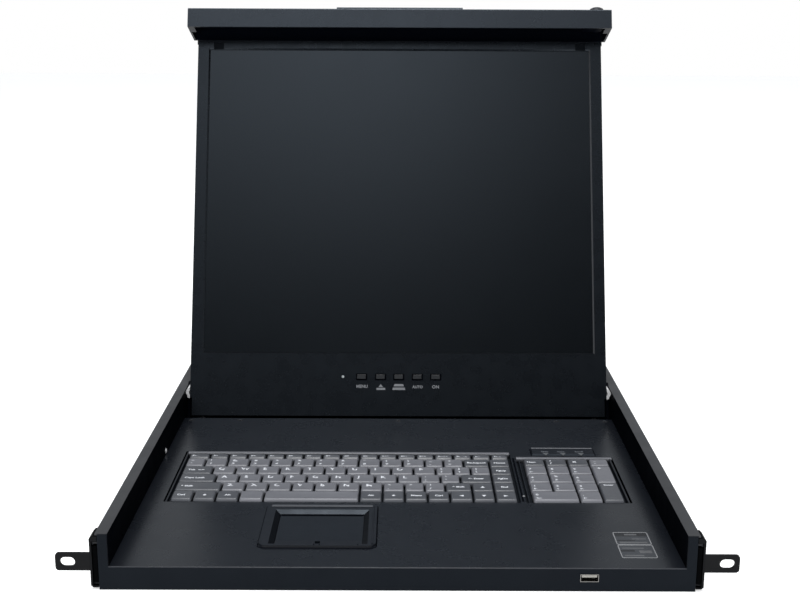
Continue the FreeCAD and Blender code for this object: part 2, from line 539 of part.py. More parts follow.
add("lcd_glass", to_lid(box(-190.5, 190.5, 2.05, 3.2, 58.8, 364.8)))
fr2 = fuse(box(-193.5, 193.5, 3.25, 12.0, 56.0, 367.5))
fr2 = cut(fr2, box(-186, 186, 11.0, 13, 64, 360))
add("lcd_panel", to_lid(fr2))
db = fuse(box(-120, 60, 11.4, 12.9, 8, 27.0), box(-90, -60, 9.0, 11.4, 12, 22), box(-20, 0, 9.4, 11.4, 12, 24),
          cyl(2.0, 1.9, (-115, 12.9, 13), (0, 1, 0)), cyl(2.0, 1.9, (55, 12.9, 13), (0, 1, 0)))
add("driver_board", to_lid(db))

# front bar: channel open towards the hinge, closed at both ends
BT = 1.8
bar = fuse(box(-BAR_HALF, BAR_HALF, BAR_V0, BAR_V1, BAR_T1 - BT, BAR_T1),
           box(-BAR_HALF, BAR_HALF, BAR_V0, BAR_V0 + BT, BAR_T0, BAR_T1 - BT),
           box(-BAR_HALF, BAR_HALF, BAR_V1 - BT, BAR_V1, LID_TOP + 0.4, BAR_T1 - BT))
for sx in (1, -1):
    a, b = (BAR_HALF - BT, BAR_HALF) if sx > 0 else (-BAR_HALF, -BAR_HALF + BT)
    bar = fuse(bar, box(a, b, BAR_V0 + BT, BAR_V1 - BT, BAR_T0, BAR_T1 - BT))
    a, b = (200.6, BAR_HALF - BT) if sx > 0 else (-BAR_HALF + BT, -200.6)
    bar = fuse(bar, box(a, b, BAR_V0 + BT, -10.0, BAR_T0, BAR_T0 + BT))
    # the back wall stops short of the corners, which close over the tray's side walls
    a, b = (203.3, BAR_HALF + 1) if sx > 0 else (-BAR_HALF - 1, -203.3)
    bar = cut(bar, box(a, b, BAR_V1 - BT - 0.01, BAR_V1 + 1, LID_TOP, BAR_T0))
for x in TABX:
    bar = fuse(bar, box(x - 12, x + 12, 12.9, LID_T - S2 - 0.05, 360.0, LID_TOP + 0.4),
               box(x - 12, x + 12, 12.9, BAR_V1 - BT + 0.1, LID_TOP + 0.4, 376.0))
    bar = cut(bar, cyl(1.4, 4, (x, 12, 366.0), (0, 1, 0)))
# the lid's top wall is slotted where the tabs pass
bar = cut(bar, cyl(6.2, 6, (LOCK_X, LOCK_V, BAR_T1 - 4), (0, 0, 1)))
e = [k for k in bar.Edges if abs(k.tangentAt(k.FirstParameter).x) > 0.9 and k.Length > 400
     and k.CenterOfMass.z > BAR_T1 - 0.01]
bar = bar.makeFillet(1.1, e)
add("front_bar", to_lid(bar))
shell = cut(shell, *[box(x - 12.4, x + 12.4, 12.5, LID_T - S2 + 0.01, LID_TOP - S2 - 0.5, LID_TOP + 1) for x in TABX])
PARTS["lid_back_shell"] = [to_lid(shell)]

# pull handle: a folded grip lip that stands off the bar, with finger room under it
hx, hr = 62.5, 8.2
T0 = BAR_T1 + 0.02
prof = [(1.0, T0), (1.0, T0 + hr), (-8.0, T0 + hr), (-8.0, T0 + hr - 3.4), (-6.4, T0 + hr - 3.4),
        (-6.4, T0 + hr - 1.6), (-0.6, T0 + hr - 1.6), (-0.6, T0), (1.0, T0)]
g = Part.Face(Part.makePolygon([Vector(-hx, v, t) for v, t in prof])).extrude(Vector(2 * hx, 0, 0))
e = [k for k in g.Edges if abs(k.tangentAt(k.FirstParameter).x) > 0.9 and k.CenterOfMass.z > T0 + hr - 0.1]
g = g.makeFillet(1.5, e)
foot = fuse(box(-hx + 4, hx - 4, 1.0, 9.0, T0, T0 + 1.2))
g = fuse(g, foot)
add("pull_handle", to_lid(g))

# key lock
lb = fuse(cone(8.6, 7.9, 5.4, (LOCK_X, LOCK_V, BAR_T1 + 0.02), (0, 0, 1)),
          cyl(6.1, 12.0, (LOCK_X, LOCK_V, BAR_T1 - 11.8), (0, 0, 1)))
lb = fuse(lb, cone(7.9, 6.6, 2.0, (LOCK_X, LOCK_V, BAR_T1 + 5.42), (0, 0, 1)))
lb = fuse(lb, cone(6.6, 4.8, 1.0, (LOCK_X, LOCK_V, BAR_T1 + 7.42), (0, 0, 1)))
lb = cut(lb, cyl(4.05, 40, (LOCK_X, LOCK_V, BAR_T1 - 20), (0, 0, 1)))
add("lock_body", to_lid(lb))
lc = cyl(4.0, 20.7, (LOCK_X, LOCK_V, BAR_T1 - 12.4), (0, 0, 1))
lc = cut(lc, box(LOCK_X - 0.6, LOCK_X + 0.6, LOCK_V - 3.0, LOCK_V + 3.0, BAR_T1 + 2, BAR_T1 + 12))
camp = fuse(cyl(5.2, 1.6, (LOCK_X, LOCK_V, BAR_T1 - 14.0), (0, 0, 1)),
            box(LOCK_X - 14.0, LOCK_X, LOCK_V - 4.0, LOCK_V + 4.0, BAR_T1 - 14.0, BAR_T1 - 12.4))
add("lock_cylinder", to_lid(fuse(lc, camp)))

# ---------------------------------------------------------------- fasteners
ds_ = []
for x in DSX:
    ds_.append(csk((x, 312.0, DECK_Z - 0.04), (0, 0, -1), 2.85, 1.5, 0.95, 6.0))
for y, z in RIV:
    r = rivet((WALL_IN - 0.01, y, z), (1, 0, 0), 2.4, 0.9, 1.5, 3.0)
    ds_ += [r, mirror(r)]
for y in (338.0, 357.0):
    s = pan((193.0, y, 3.32), (0, 0, -1), 2.8, 1.4, 1.5, 2.0)
    ds_ += [s, mirror(s)]
add("drawer_screws", *ds_)
ls = []
for x in TABX:
    ls.append(to_lid(pan((x, LID_T + 0.01, 366.0), (0, -1, 0), 2.6, 0.0001 + 0.9, 1.35, 3.0)))
for t in (40.0, 52.0):
    s = pan((187.0, 12.85, t), (0, 1, 0), 2.6, 1.2, 1.5, 1.9)
    ls += [to_lid(s), to_lid(mirror(s))]
add("lid_screws", *ls)

# ---------------------------------------------------------------- export
os.makedirs("parts", exist_ok=True)
for name, solids in PARTS.items():
    out = []
    for s in solids:
        c = s.copy()
        c.translate(ORIGIN)
        for k in (c.Solids if c.Solids else []):
            out.append(k)
    shp = out[0] if len(out) == 1 else Part.makeCompound(out)
    shp.exportStep("parts/%s.step" % name)
    bb_ = shp.BoundBox
    print("%-24s solids %3d valid %s vol %10.1f  x %.1f..%.1f y %.1f..%.1f z %.1f..%.1f" % (
        name, len(out), shp.isValid(), shp.Volume, bb_.XMin, bb_.XMax, bb_.YMin, bb_.YMax, bb_.ZMin, bb_.ZMax))
print("nodes", len(PARTS), "hinge in lid frame t=%.2f v=%.2f" % (HT, HV))
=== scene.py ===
import bpy, bmesh, math
from mathutils import Vector, Matrix


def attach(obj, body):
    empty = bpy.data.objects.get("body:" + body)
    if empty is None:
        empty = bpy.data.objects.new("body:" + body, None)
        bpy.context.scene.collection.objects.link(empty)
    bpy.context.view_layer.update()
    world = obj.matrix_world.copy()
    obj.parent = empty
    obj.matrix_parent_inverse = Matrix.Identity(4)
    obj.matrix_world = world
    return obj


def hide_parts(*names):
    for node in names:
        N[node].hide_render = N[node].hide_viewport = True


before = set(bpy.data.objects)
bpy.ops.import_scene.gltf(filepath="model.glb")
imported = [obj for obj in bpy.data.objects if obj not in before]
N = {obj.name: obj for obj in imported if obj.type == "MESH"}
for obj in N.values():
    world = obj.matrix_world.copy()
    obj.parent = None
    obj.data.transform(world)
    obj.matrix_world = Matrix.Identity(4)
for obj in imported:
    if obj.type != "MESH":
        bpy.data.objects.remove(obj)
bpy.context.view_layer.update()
scene = bpy.context.scene
col = scene.collection

# ------------------------------------------------------------------ frames
# working frame of the drawings, in mm -> row frame, in metres
OY, OZ = 2.6, 21.0
TILT = math.radians(20.59)
LS, LC = math.sin(TILT), math.cos(TILT)


def W(x, y, z):
    return Vector((x / 1000.0, (y - OY) / 1000.0, (z - OZ) / 1000.0))


def L(x, v, t):
    """Lid frame (x, depth behind the face, up the lid) in mm to the row frame."""
    return W(x, 325.2 + t * LS + v * LC, 17.9 + t * LC - v * LS)


def new_mesh(name, verts, faces, mats=(), midx=None, smooth=True, body=None):
    me = bpy.data.meshes.new(name)
    me.from_pydata([tuple(v) for v in verts], [], faces)
    me.validate()
    ob = bpy.data.objects.new(name, me)
    col.objects.link(ob)
    for m in mats:
        me.materials.append(m)
    if midx:
        for p, i in zip(me.polygons, midx):
            p.material_index = i
    if smooth:
        for p in me.polygons:
            p.use_smooth = True
    bm = bmesh.new()
    bm.from_mesh(me)
    bmesh.ops.recalc_face_normals(bm, faces=bm.faces)
    bm.to_mesh(me)
    bm.free()
    if body:
        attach(ob, body)
    return ob


# ------------------------------------------------------------------ materials
def nodes_of(m):
    m.use_nodes = True
    nt = m.node_tree
    return nt, nt.nodes, nt.links


def paint(name, base, rough=0.42, metallic=0.0, spec=0.5, coat=0.0, coat_rough=0.2, var=0.12, var_scale=7.0,
          rvar=0.06, grain=1500.0, grain_amt=0.04, peel=260.0, peel_amt=0.03, streak=None, speck=0.0, tint=None):
    """Coated or moulded surface: slow colour change, roughness change, fine grain and a soft peel in the bump."""
    m = bpy.data.materials.new(name)
    nt, ns, lk = nodes_of(m)
    bs = ns["Principled BSDF"]
    tc = ns.new("ShaderNodeTexCoord")
    big = ns.new("ShaderNodeTexNoise")
    big.inputs["Scale"].default_value = var_scale
    big.inputs["Detail"].default_value = 4.0
    big.inputs["Roughness"].default_value = 0.55
    lk.new(tc.outputs["Object"], big.inputs["Vector"])
    ramp = ns.new("ShaderNodeValToRGB")
    ramp.color_ramp.elements[0].position = 0.3
    ramp.color_ramp.elements[1].position = 0.7
    lo = [c * (1 - var) for c in base]
    hi = [c * (1 + var) for c in base]
    ramp.color_ramp.elements[0].color = (*lo, 1)
    ramp.color_ramp.elements[1].color = (*hi, 1)
    lk.new(big.outputs["Fac"], ramp.inputs["Fac"])
    out_col = ramp.outputs["Color"]
    fine = ns.new("ShaderNodeTexNoise")
    fine.inputs["Scale"].default_value = grain
    fine.inputs["Detail"].default_value = 3.0
    lk.new(tc.outputs["Object"], fine.inputs["Vector"])
    if speck > 0:
        r2 = ns.new("ShaderNodeValToRGB")
        r2.color_ramp.elements[0].position = 0.45
        r2.color_ramp.elements[1].position = 0.75
        r2.color_ramp.elements[0].color = (0.75, 0.75, 0.75, 1)
        r2.color_ramp.elements[1].color = (1 + speck, 1 + speck, 1 + speck, 1)
        lk.new(fine.outputs["Fac"], r2.inputs["Fac"])
        mx = ns.new("ShaderNodeMix")
        mx.data_type = "RGBA"
        mx.blend_type = "MULTIPLY"
        mx.inputs["Factor"].default_value = 1.0
        lk.new(out_col, mx.inputs[6])
        lk.new(r2.outputs["Color"], mx.inputs[7])
        out_col = mx.outputs[2]
    lk.new(out_col, bs.inputs["Base Color"])
    mr = ns.new("ShaderNodeMapRange")
    mr.inputs["From Min"].default_value = 0.3
    mr.inputs["From Max"].default_value = 0.7
    mr.inputs["To Min"].default_value = max(0.02, rough - rvar)
    mr.inputs["To Max"].default_value = min(1.0, rough + rvar)
    mid = ns.new("ShaderNodeTexNoise")
    mid.inputs["Scale"].default_value = var_scale * 9
    mid.inputs["Detail"].default_value = 5.0
    lk.new(tc.outputs["Object"], mid.inputs["Vector"])
    lk.new(mid.outputs["Fac"], mr.inputs["Value"])
    lk.new(mr.outputs["Result"], bs.inputs["Roughness"])
    pl = ns.new("ShaderNodeTexNoise")
    pl.inputs["Scale"].default_value = peel
    pl.inputs["Detail"].default_value = 2.0
    if streak:
        mp = ns.new("ShaderNodeMapping")
        mp.inputs["Scale"].default_value = streak
        lk.new(tc.outputs["Object"], mp.inputs["Vector"])
        lk.new(mp.outputs["Vector"], pl.inputs["Vector"])
    else:
        lk.new(tc.outputs["Object"], pl.inputs["Vector"])
    b1 = ns.new("ShaderNodeBump")
    b1.inputs["Strength"].default_value = 1.0
    b1.inputs["Distance"].default_value = peel_amt / 1000.0
    lk.new(pl.outputs["Fac"], b1.inputs["Height"])
    b2 = ns.new("ShaderNodeBump")
    b2.inputs["Strength"].default_value = 1.0
    b2.inputs["Distance"].default_value = grain_amt / 1000.0
    lk.new(fine.outputs["Fac"], b2.inputs["Height"])
    lk.new(b1.outputs["Normal"], b2.inputs["Normal"])
    lk.new(b2.outputs["Normal"], bs.inputs["Normal"])
    bs.inputs["Metallic"].default_value = metallic
    bs.inputs["Specular IOR Level"].default_value = spec
    bs.inputs["Coat Weight"].default_value = coat
    bs.inputs["Coat Roughness"].default_value = coat_rough
    if tint:
        bs.inputs["Specular Tint"].default_value = (*tint, 1)
    return m


def ink(name, c, rough=0.6, emit=0.0):
    m = paint(name, c, rough=rough, var=0.08, var_scale=120, grain=2500, grain_amt=0.01, peel=800, peel_amt=0.004, spec=0.3)
    if emit:
        b = m.node_tree.nodes["Principled BSDF"]
        b.inputs["Emission Color"].default_value = (*c, 1)
        b.inputs["Emission Strength"].default_value = emit
    return m


BLUE = (0.74, 0.86, 1.0)
M = {}
# deck, fascia and tray coats are one black paint toned per part: the fascia darker as painted shade, the tray lighter
# as painted light
M["deck"] = paint("deck_coat", (0.0060, 0.0072, 0.0100), rough=0.28, spec=0.45, tint=BLUE, var=0.08, var_scale=4.5, rvar=0.025, grain=1800, grain_amt=0.012, peel=420, peel_amt=0.008)
# fascia coat: the shared black paint darkened, painted shade on the front face
M["fascia"] = paint("fascia_coat_painted_shade", (0.0012, 0.0019, 0.0034), rough=0.45, spec=0.13, tint=BLUE, var=0.10, var_scale=5, grain=1800, grain_amt=0.030, peel=420, peel_amt=0.02)
# painted highlight: a lighter paint for the rounded top edge of the fascia
M["fascia_edge"] = paint("fascia_edge_coat", (0.018, 0.020, 0.025), rough=0.38, spec=0.28, var=0.10, var_scale=9, grain=1800, grain_amt=0.020, peel=420, peel_amt=0.01)
# tray coat: the shared black paint lightened, painted light for the upward flange
M["tray"] = paint("tray_coat_painted_light", (0.0270, 0.0285, 0.0320), rough=0.42, spec=0.34, var=0.10, var_scale=5, grain=1800, grain_amt=0.025, peel=420, peel_amt=0.015)
# painted shade: the tray paint darkened for the inner walls and the pan floor
M["tray_in"] = paint("tray_wall_painted_shade", (0.0007, 0.0010, 0.0019), rough=0.55, spec=0.02, tint=BLUE, var=0.10, var_scale=5, grain=1800, grain_amt=0.030, peel=420, peel_amt=0.02)
M["ear"] = paint("ear_coat", (0.0020, 0.0022, 0.0028), rough=0.45, spec=0.12, var=0.10, grain=1800, grain_amt=0.03)
# painted shade: the ear paint darkened for the hood part of each ear bracket
M["hood"] = paint("hood_painted_shade", (0.0008, 0.0010, 0.0015), rough=0.55, spec=0.03, var=0.10, grain=1800, grain_amt=0.03)
M["bar"] = paint("bar_coat", (0.0080, 0.0094, 0.0120), rough=0.27, spec=0.55, tint=BLUE, var=0.07, var_scale=6, rvar=0.03, grain=1800, grain_amt=0.018, peel=420, peel_amt=0.012)
M["shell"] = paint("shell_coat", (0.0150, 0.0165, 0.0200), rough=0.45, spec=0.35, tint=BLUE, var=0.10, var_scale=5, grain=1800, grain_amt=0.03, peel=420, peel_amt=0.02)
M["bezel"] = paint("bezel_moulding", (0.0013, 0.0017, 0.0025), rough=0.28, spec=0.48, tint=BLUE, var=0.06, var_scale=9, rvar=0.03, grain=2600, grain_amt=0.012, peel=1200, peel_amt=0.006)
M["screen"] = paint("screen_film", (0.0012, 0.0016, 0.0021), rough=0.20, spec=0.55, tint=BLUE, var=0.03, var_scale=2, rvar=0.012, grain=5000, grain_amt=0.003, peel=2500, peel_amt=0.002)
M["keylight"] = paint("key_light", (0.138, 0.141, 0.158), rough=0.36, spec=0.45, var=0.05, var_scale=30, rvar=0.04, grain=3500, grain_amt=0.015, peel=1500, peel_amt=0.006)
M["keydark"] = paint("key_dark", (0.066, 0.070, 0.080), rough=0.36, spec=0.45, var=0.05, var_scale=30, rvar=0.04, grain=3500, grain_amt=0.015, peel=1500, peel_amt=0.006)
M["kbase"] = paint("key_base", (0.0105, 0.0125, 0.0160), rough=0.60, spec=0.06)
# painted highlight: pale paint for the back bead of the touchpad frame
M["krim"] = paint("touchpad_bead_painted_highlight", (0.060, 0.064, 0.074), rough=0.45, spec=0.4, var=0.05, var_scale=30, grain=3000, grain_amt=0.02)
M["trim"] = paint("trim_moulding", (0.0085, 0.0100, 0.0135), rough=0.36, spec=0.30, tint=BLUE, var=0.06, grain=3000, grain_amt=0.015, peel=1200, peel_amt=0.008)
M["pad"] = paint("pad_film", (0.0080, 0.0102, 0.0140), rough=0.40, spec=0.25, tint=BLUE, var=0.04, grain=4000, grain_amt=0.012, peel=1500, peel_amt=0.005)
M["button"] = paint("menu_button_moulding", (0.0135, 0.0150, 0.0172), rough=0.38, spec=0.5, var=0.05, grain=3000, grain_amt=0.01)
M["zinc"] = paint("zinc_plate", (0.55, 0.56, 0.58), rough=0.30, metallic=1.0, var=0.10, var_scale=60, grain=900, grain_amt=0.01, streak=(30, 600, 600), peel=1.0, peel_amt=0.01)
M["blackzinc"] = paint("black_zinc", (0.020, 0.021, 0.024), rough=0.42, metallic=0.3, spec=0.3, var=0.15, var_scale=40)
M["screw"] = paint("screw_steel", (0.50, 0.50, 0.51), rough=0.30, metallic=1.0, var=0.10, var_scale=200)
M["socket"] = paint("socket_nickel", (0.25, 0.245, 0.235), rough=0.28, metallic=1.0, var=0.08, var_scale=150)
M["tongue"] = paint("socket_insert", (0.23, 0.225, 0.205), rough=0.45, var=0.05, var_scale=150)
M["board"] = paint("board_mask", (0.02, 0.10, 0.045), rough=0.35, coat=0.3, var=0.12, var_scale=60)
M["chip"] = paint("chip_black", (0.02, 0.02, 0.022), rough=0.5)
M["rubber"] = paint("bumper_rubber", (0.0009, 0.0010, 0.0012), rough=0.80, spec=0.02)
M["lens"] = ink("led_lens", (0.30, 0.33, 0.34), rough=0.3)
M["panel"] = paint("panel_frame", (0.5, 0.5, 0.51), rough=0.4, metallic=1.0)
M["lock"] = paint("lock_nickel", (0.060, 0.062, 0.068), rough=0.34, metallic=0.8, var=0.08, var_scale=150)
# painted highlight: a pale key-like colour for the back rim of the key field and the indicator bead
M["keyframe"] = paint("key_frame_painted_highlight", (0.118, 0.122, 0.136), rough=0.42, spec=0.4, var=0.05, var_scale=30, rvar=0.04, grain=3500, grain_amt=0.015)
M["zinc_bright"] = paint("hinge_link_plate_and_painted_glint", (0.72, 0.72, 0.73), rough=0.45, metallic=0.25, var=0.08, var_scale=300, grain=2500, grain_amt=0.01)
M["tri"] = paint("indicator_lens", (0.105, 0.112, 0.120), rough=0.25, spec=0.5, var=0.05, var_scale=200, grain=3000, grain_amt=0.01)
M["label"] = paint("label_film", (0.027, 0.031, 0.038), rough=0.34, spec=0.45, var=0.08, var_scale=60, rvar=0.04, grain=4000, grain_amt=0.008)
M["label_edge"] = paint("label_border", (0.22, 0.225, 0.235), rough=0.35, spec=0.4, var=0.08, var_scale=120, grain=4000, grain_amt=0.008)
M["ink"] = ink("legend_ink", (0.66, 0.68, 0.72))
M["ink_mid"] = ink("legend_ink_mid", (0.165, 0.172, 0.185))
M["label_band"] = paint("label_band", (0.0085, 0.0100, 0.0130), rough=0.36, spec=0.35, var=0.08, var_scale=90, grain=4000, grain_amt=0.006)
M["label_rule"] = paint("label_rule", (0.085, 0.088, 0.094), rough=0.36, spec=0.40, var=0.08, var_scale=120, grain=4000, grain_amt=0.006)
# painted highlight: a light copy of the bezel for its right inner slope
M["lip_lit"] = paint("bezel_side_painted_highlight", (0.0340, 0.0360, 0.0400), rough=0.34, spec=0.50, var=0.06, grain=2600, grain_amt=0.010)
# painted shade: a dark copy of the bezel for the upward faces of the lower lip
M["lip_dark"] = paint("bezel_foot_painted_shade", (0.0010, 0.0013, 0.0020), rough=0.50, spec=0.06, tint=BLUE, var=0.06, grain=2600, grain_amt=0.010)
# painted light: a lighter copy for the front-facing faces of the hood
M["hood_face"] = paint("hood_rim_painted_light", (0.0024, 0.0027, 0.0034), rough=0.50, spec=0.10, var=0.08, grain=1800, grain_amt=0.02)
M["relief"] = paint("bezel_relief", (0.0026, 0.0032, 0.0042), rough=0.50, spec=0.10, tint=BLUE, var=0.06, grain=2600, grain_amt=0.010)
# lit and shaded copies of the trim paint for the touchpad frame: painted light on the front faces, painted shade on
# the slopes
M["frame_front"] = paint("trim_front_painted_light", (0.0190, 0.0205, 0.0240), rough=0.40, spec=0.25, var=0.06, grain=3000, grain_amt=0.012)
M["slope_dark"] = paint("trim_slope_painted_shade", (0.0022, 0.0028, 0.0042), rough=0.42, spec=0.14, tint=BLUE, var=0.06, grain=3000, grain_amt=0.012)
M["slope_lit"] = paint("trim_back_slope_painted_shade", (0.0042, 0.0048, 0.0064), rough=0.36, spec=0.25, tint=BLUE, var=0.06, grain=3000, grain_amt=0.012)
# painted shade: a darker, duller copy of the bar paint for its downward faces
M["bar_end"] = paint("bar_fold_painted_shade", (0.0060, 0.0070, 0.0090), rough=0.45, spec=0.10, var=0.07, grain=1800, grain_amt=0.02)
M["ink_dim"] = ink("legend_ink_dim", (0.14, 0.15, 0.17))
# black for dark inner parts, also used as painted shade in shaded gaps and hollows
M["black"] = paint("black_and_painted_shade", (0.0006, 0.0011, 0.0026), rough=0.6, spec=0.04)

ASSIGN = {
    "deck": ["deck_plate"], "fascia": ["front_fascia"], "tray": ["tray_pan", "rear_cover"],
    "ear": ["ear_bracket_right", "ear_bracket_left"], "bar": ["front_bar", "pull_handle"], "shell": ["lid_back_shell"],
    "bezel": ["lid_bezel"], "screen": ["lcd_glass"], "kbase": ["keyboard_base"], "trim": ["indicator_bar", "touchpad_frame", "touchpad_button_left", "touchpad_button_right",
    "power_inlet"], "button": ["menu_button_1", "menu_button_2", "menu_button_3", "menu_button_4", "menu_button_5"],
    "pad": ["touchpad_surface"], "zinc": ["outer_ball_cages", "inner_ball_cages", "hinge_pins", "hinge_leaf_right", "hinge_leaf_left"],
    "blackzinc": ["outer_slide_right", "outer_slide_left", "middle_slide_right", "middle_slide_left", "inner_slide_right", "inner_slide_left", "rail_screws"],
    "black": ["hinge_bracket_right", "hinge_bracket_left"],
    "screw": ["drawer_screws", "lid_screws"], "socket": ["data_socket", "rear_sockets"], "board": ["socket_board", "control_board", "power_board", "button_board", "driver_board"],
    "rubber": ["slide_bumpers"], "lens": ["indicator_lights", "power_light"], "panel": ["lcd_panel"], "lock": ["lock_body", "lock_cylinder"],
    "keylight": ["bottom_row_keys", "lower_letter_keys", "home_row_keys", "upper_letter_keys", "number_row_keys", "function_keys", "space_bar", "number_pad_keys"],
}
for k, ns_ in ASSIGN.items():
    for n in ns_:
        me = N[n].data
        me.materials.clear()
        me.materials.append(M[k])


def two_mats(node, second, test):
    """Second material on the faces whose centre passes the test (row frame, metres)."""
    me = N[node].data
    me.materials.append(second)
    i = len(me.materials) - 1
    for p in me.polygons:
        if test(p.center, p.normal):
            p.material_index = i


def mmf(c):
    """Row frame point in metres back to the drawing frame in mm."""
    return c[0] * 1000.0, c[1] * 1000.0 + OY, c[2] * 1000.0 + OZ


# painted shade on the inner faces of the tray walls and the pan floor inside, a painted highlight on the top edge of
# the fascia, and the rim of the key field, pale at the back as a painted highlight
two_mats("tray_pan", M["tray_in"], lambda c, n: abs(abs(c[0]) - 0.20395) < 0.0003 or (abs(n[2]) > 0.7 and mmf(c)[2] < 2.0 and n[2] > 0))
# painted highlight on the upward-facing top edge of the fascia
two_mats("front_fascia", M["fascia_edge"], lambda c, n: abs(n[1]) < 0.985 and n[2] > 0.25 and mmf(c)[2] > 16.0 and mmf(c)[2] < 18.0)
# painted highlight: the back rim of the key field in a pale key colour
two_mats("keyboard_base", M["keyframe"], lambda c, n: mmf(c)[2] > 14.5 and mmf(c)[1] > 214.0)
two_mats("keyboard_base", M["trim"], lambda c, n: mmf(c)[2] > 14.5 and mmf(c)[1] <= 214.0)
# painted shade on the hood part of each ear bracket, with painted light on its front-facing faces
for nm in ("ear_bracket_right", "ear_bracket_left"):
    two_mats(nm, M["hood"], lambda c, n: abs(c[0]) * 1000.0 < 216.9)
    two_mats(nm, M["hood_face"], lambda c, n: abs(c[0]) * 1000.0 < 216.9 and n[1] < -0.8 and mmf(c)[1] < 0.4)


def lidf(c):
    """Row frame point in metres to the lid frame: x, depth behind the face, distance up, in mm."""
    x, y, z = mmf(c)
    y, z = y - 325.2, z - 17.9
    return x, y * LC - z * LS, y * LS + z * LC


def in_bar(c, n):
    x, v, t = lidf(c)
    return abs(x) < 205.5 and -24.5 < v < 14.5 and 377.2 < t < 394.0


# downward faces below the bar, which get a darker copy of the bar paint as painted shade
def bar_fold_painted_shade(c, n):
    x, v, t = lidf(c)
    return t < 376.8 and -(n[1] * LS + n[2] * LC) > 0.7


# painted shade: black on the faces inside the bar channel, on the lock parts in it and on the top of the shell under
# it
two_mats("front_bar", M["black"], in_bar)
two_mats("front_bar", M["bar_end"], bar_fold_painted_shade)
two_mats("lock_cylinder", M["black"], lambda c, n: lidf(c)[2] < 394.0)
two_mats("lock_body", M["black"], lambda c, n: lidf(c)[2] < 394.0)
two_mats("lid_back_shell", M["black"], lambda c, n: lidf(c)[2] > 371.8 and lidf(c)[1] < 14.0)
two_mats("lid_bezel", M["relief"], lambda c, n: 0.9 < lidf(c)[1] < 1.1 and lidf(c)[2] > 361.0 and abs(c[0]) > 0.17)


def up_lid(n):
    return n[1] * LS + n[2] * LC


# painted shade on the upward faces of the lower bezel lip, painted highlight on the right inner slope of the bezel
two_mats("lid_bezel", M["lip_dark"], lambda c, n: up_lid(n) > 0.2 and 55.0 < lidf(c)[2] < 64.0 and abs(c[0]) < 0.1895 and lidf(c)[1] > -0.2)
two_mats("lid_bezel", M["lip_lit"], lambda c, n: n[0] < -0.2 and 0.184 < c[0] < 0.1930 and 64.0 < lidf(c)[2] < 360.0 and lidf(c)[1] < 1.6)
# painted shade: black on the side faces of the menu buttons
for nm in ("menu_button_1", "menu_button_2", "menu_button_3", "menu_button_4", "menu_button_5"):
    two_mats(nm, M["black"], lambda c, n: lidf(c)[1] > -0.6)
# touchpad frame by face direction: painted shade on the side and front inner slopes and on the back slope, painted
# light on the front faces
two_mats("touchpad_frame", M["slope_dark"], lambda c, n: -96.5 < mmf(c)[0] < -20.7 and 34.0 < mmf(c)[1] < 98.0 and (abs(n[0]) > 0.3 or (n[1] > 0.2 and mmf(c)[1] < 40.0)))
two_mats("touchpad_frame", M["frame_front"], lambda c, n: n[1] < -0.5 and mmf(c)[1] < 33.0 and mmf(c)[2] > 17.5)
two_mats("touchpad_frame", M["slope_lit"], lambda c, n: n[1] < -0.25 and mmf(c)[1] > 90.0)
two_mats("drawer_screws", M["blackzinc"], lambda c, n: mmf(c)[2] > 12.0)
# painted shade: the screw heads on the tray walls in the walls' shade tone; one head on the left wall painted pale as
# a glint
two_mats("drawer_screws", M["tray_in"], lambda c, n: mmf(c)[2] > 17.9 and abs(c[0]) > 0.2025)
two_mats("drawer_screws", M["zinc_bright"], lambda c, n: mmf(c)[2] > 17.9 and c[0] < -0.2025 and abs(mmf(c)[1] - 222.6) < 4.0)
two_mats("data_socket", M["tongue"], lambda c, n: abs(mmf(c)[0] - 135.65) < 5.45 and 10.3 < mmf(c)[2] < 12.2 and mmf(c)[1] > 0.5)

# fine edge rounding on the sheet metal and mouldings that show
for n, w in (("front_bar", 0.5), ("front_fascia", 0.3), ("deck_plate", 0.25), ("tray_pan", 0.35), ("lid_bezel", 0.3), ("lid_back_shell", 0.35),
             ("ear_bracket_right", 0.3), ("ear_bracket_left", 0.3), ("rear_cover", 0.3), ("hinge_bracket_right", 0.3), ("hinge_bracket_left", 0.3)):
    md = N[n].modifiers.new("edge_round", "BEVEL")
    md.width = w / 1000.0
    md.segments = 2
    md.limit_method = "ANGLE"
    md.angle_limit = math.radians(40)
    md.harden_normals = True
    md.use_clamp_overlap = True

# ------------------------------------------------------------------ key caps
KEY_TOP, KEY_BOT, GAP = 19.5, 15.5, 0.45
ROW_Y = (117.0, 135.5, 153.7, 171.6, 189.4, 207.6, 218.2)
ROWS = {
    "bottom_row_keys": (0, [-182.1, -164.3, -146.0, -127.4, -107.7, None, -30.9, -12.3, 5.6, 24.0, 41.9, 60.5, 78.3, 96.1]),
    "lower_letter_keys": (1, [-182.1, -144.2, -124.8, -106.2, -86.9, -68.4, -49.4, -30.8, -12.3, 5.4, 21.9, 38.7, 60.5, 78.3, 96.1]),
    "home_row_keys": (2, [-182.1, -151.4, -132.5, -113.3, -94.7, -75.9, -56.9, -38.1, -19.1, -0.5, 18.5, 35.4, 51.9, 78.3, 96.1]),
    "upper_letter_keys": (3, [-182.1, -156.5, -137.4, -118.9, -100.0, -81.3, -62.1, -43.6, -24.7, -5.8, 13.1, 31.9, 47.0, 61.6, 78.3, 96.1]),
    "number_row_keys": (4, [-182.1, -165.7, -146.5, -127.7, -109.4, -90.3, -71.6, -52.8, -33.9, -14.8, 4.0, 22.9, 39.0, 56.2, 78.3, 96.1]),
    "function_keys": (5, [-182.1, -163.6, -147.3, -131.0, -114.7, -98.4, -82.2, -65.9, -49.6, -33.3, -17.0, -0.7, 15.6, 31.6, 47.9, 64.2, 80.6, 96.1]),
}
SPACE_X = (-107.7, -30.9)
PAD_X = (108.0, 126.7, 145.8, 164.5, 181.7)
PAD_Y = (117.0, 136.5, 154.8, 173.4, 192.7, 208.8)

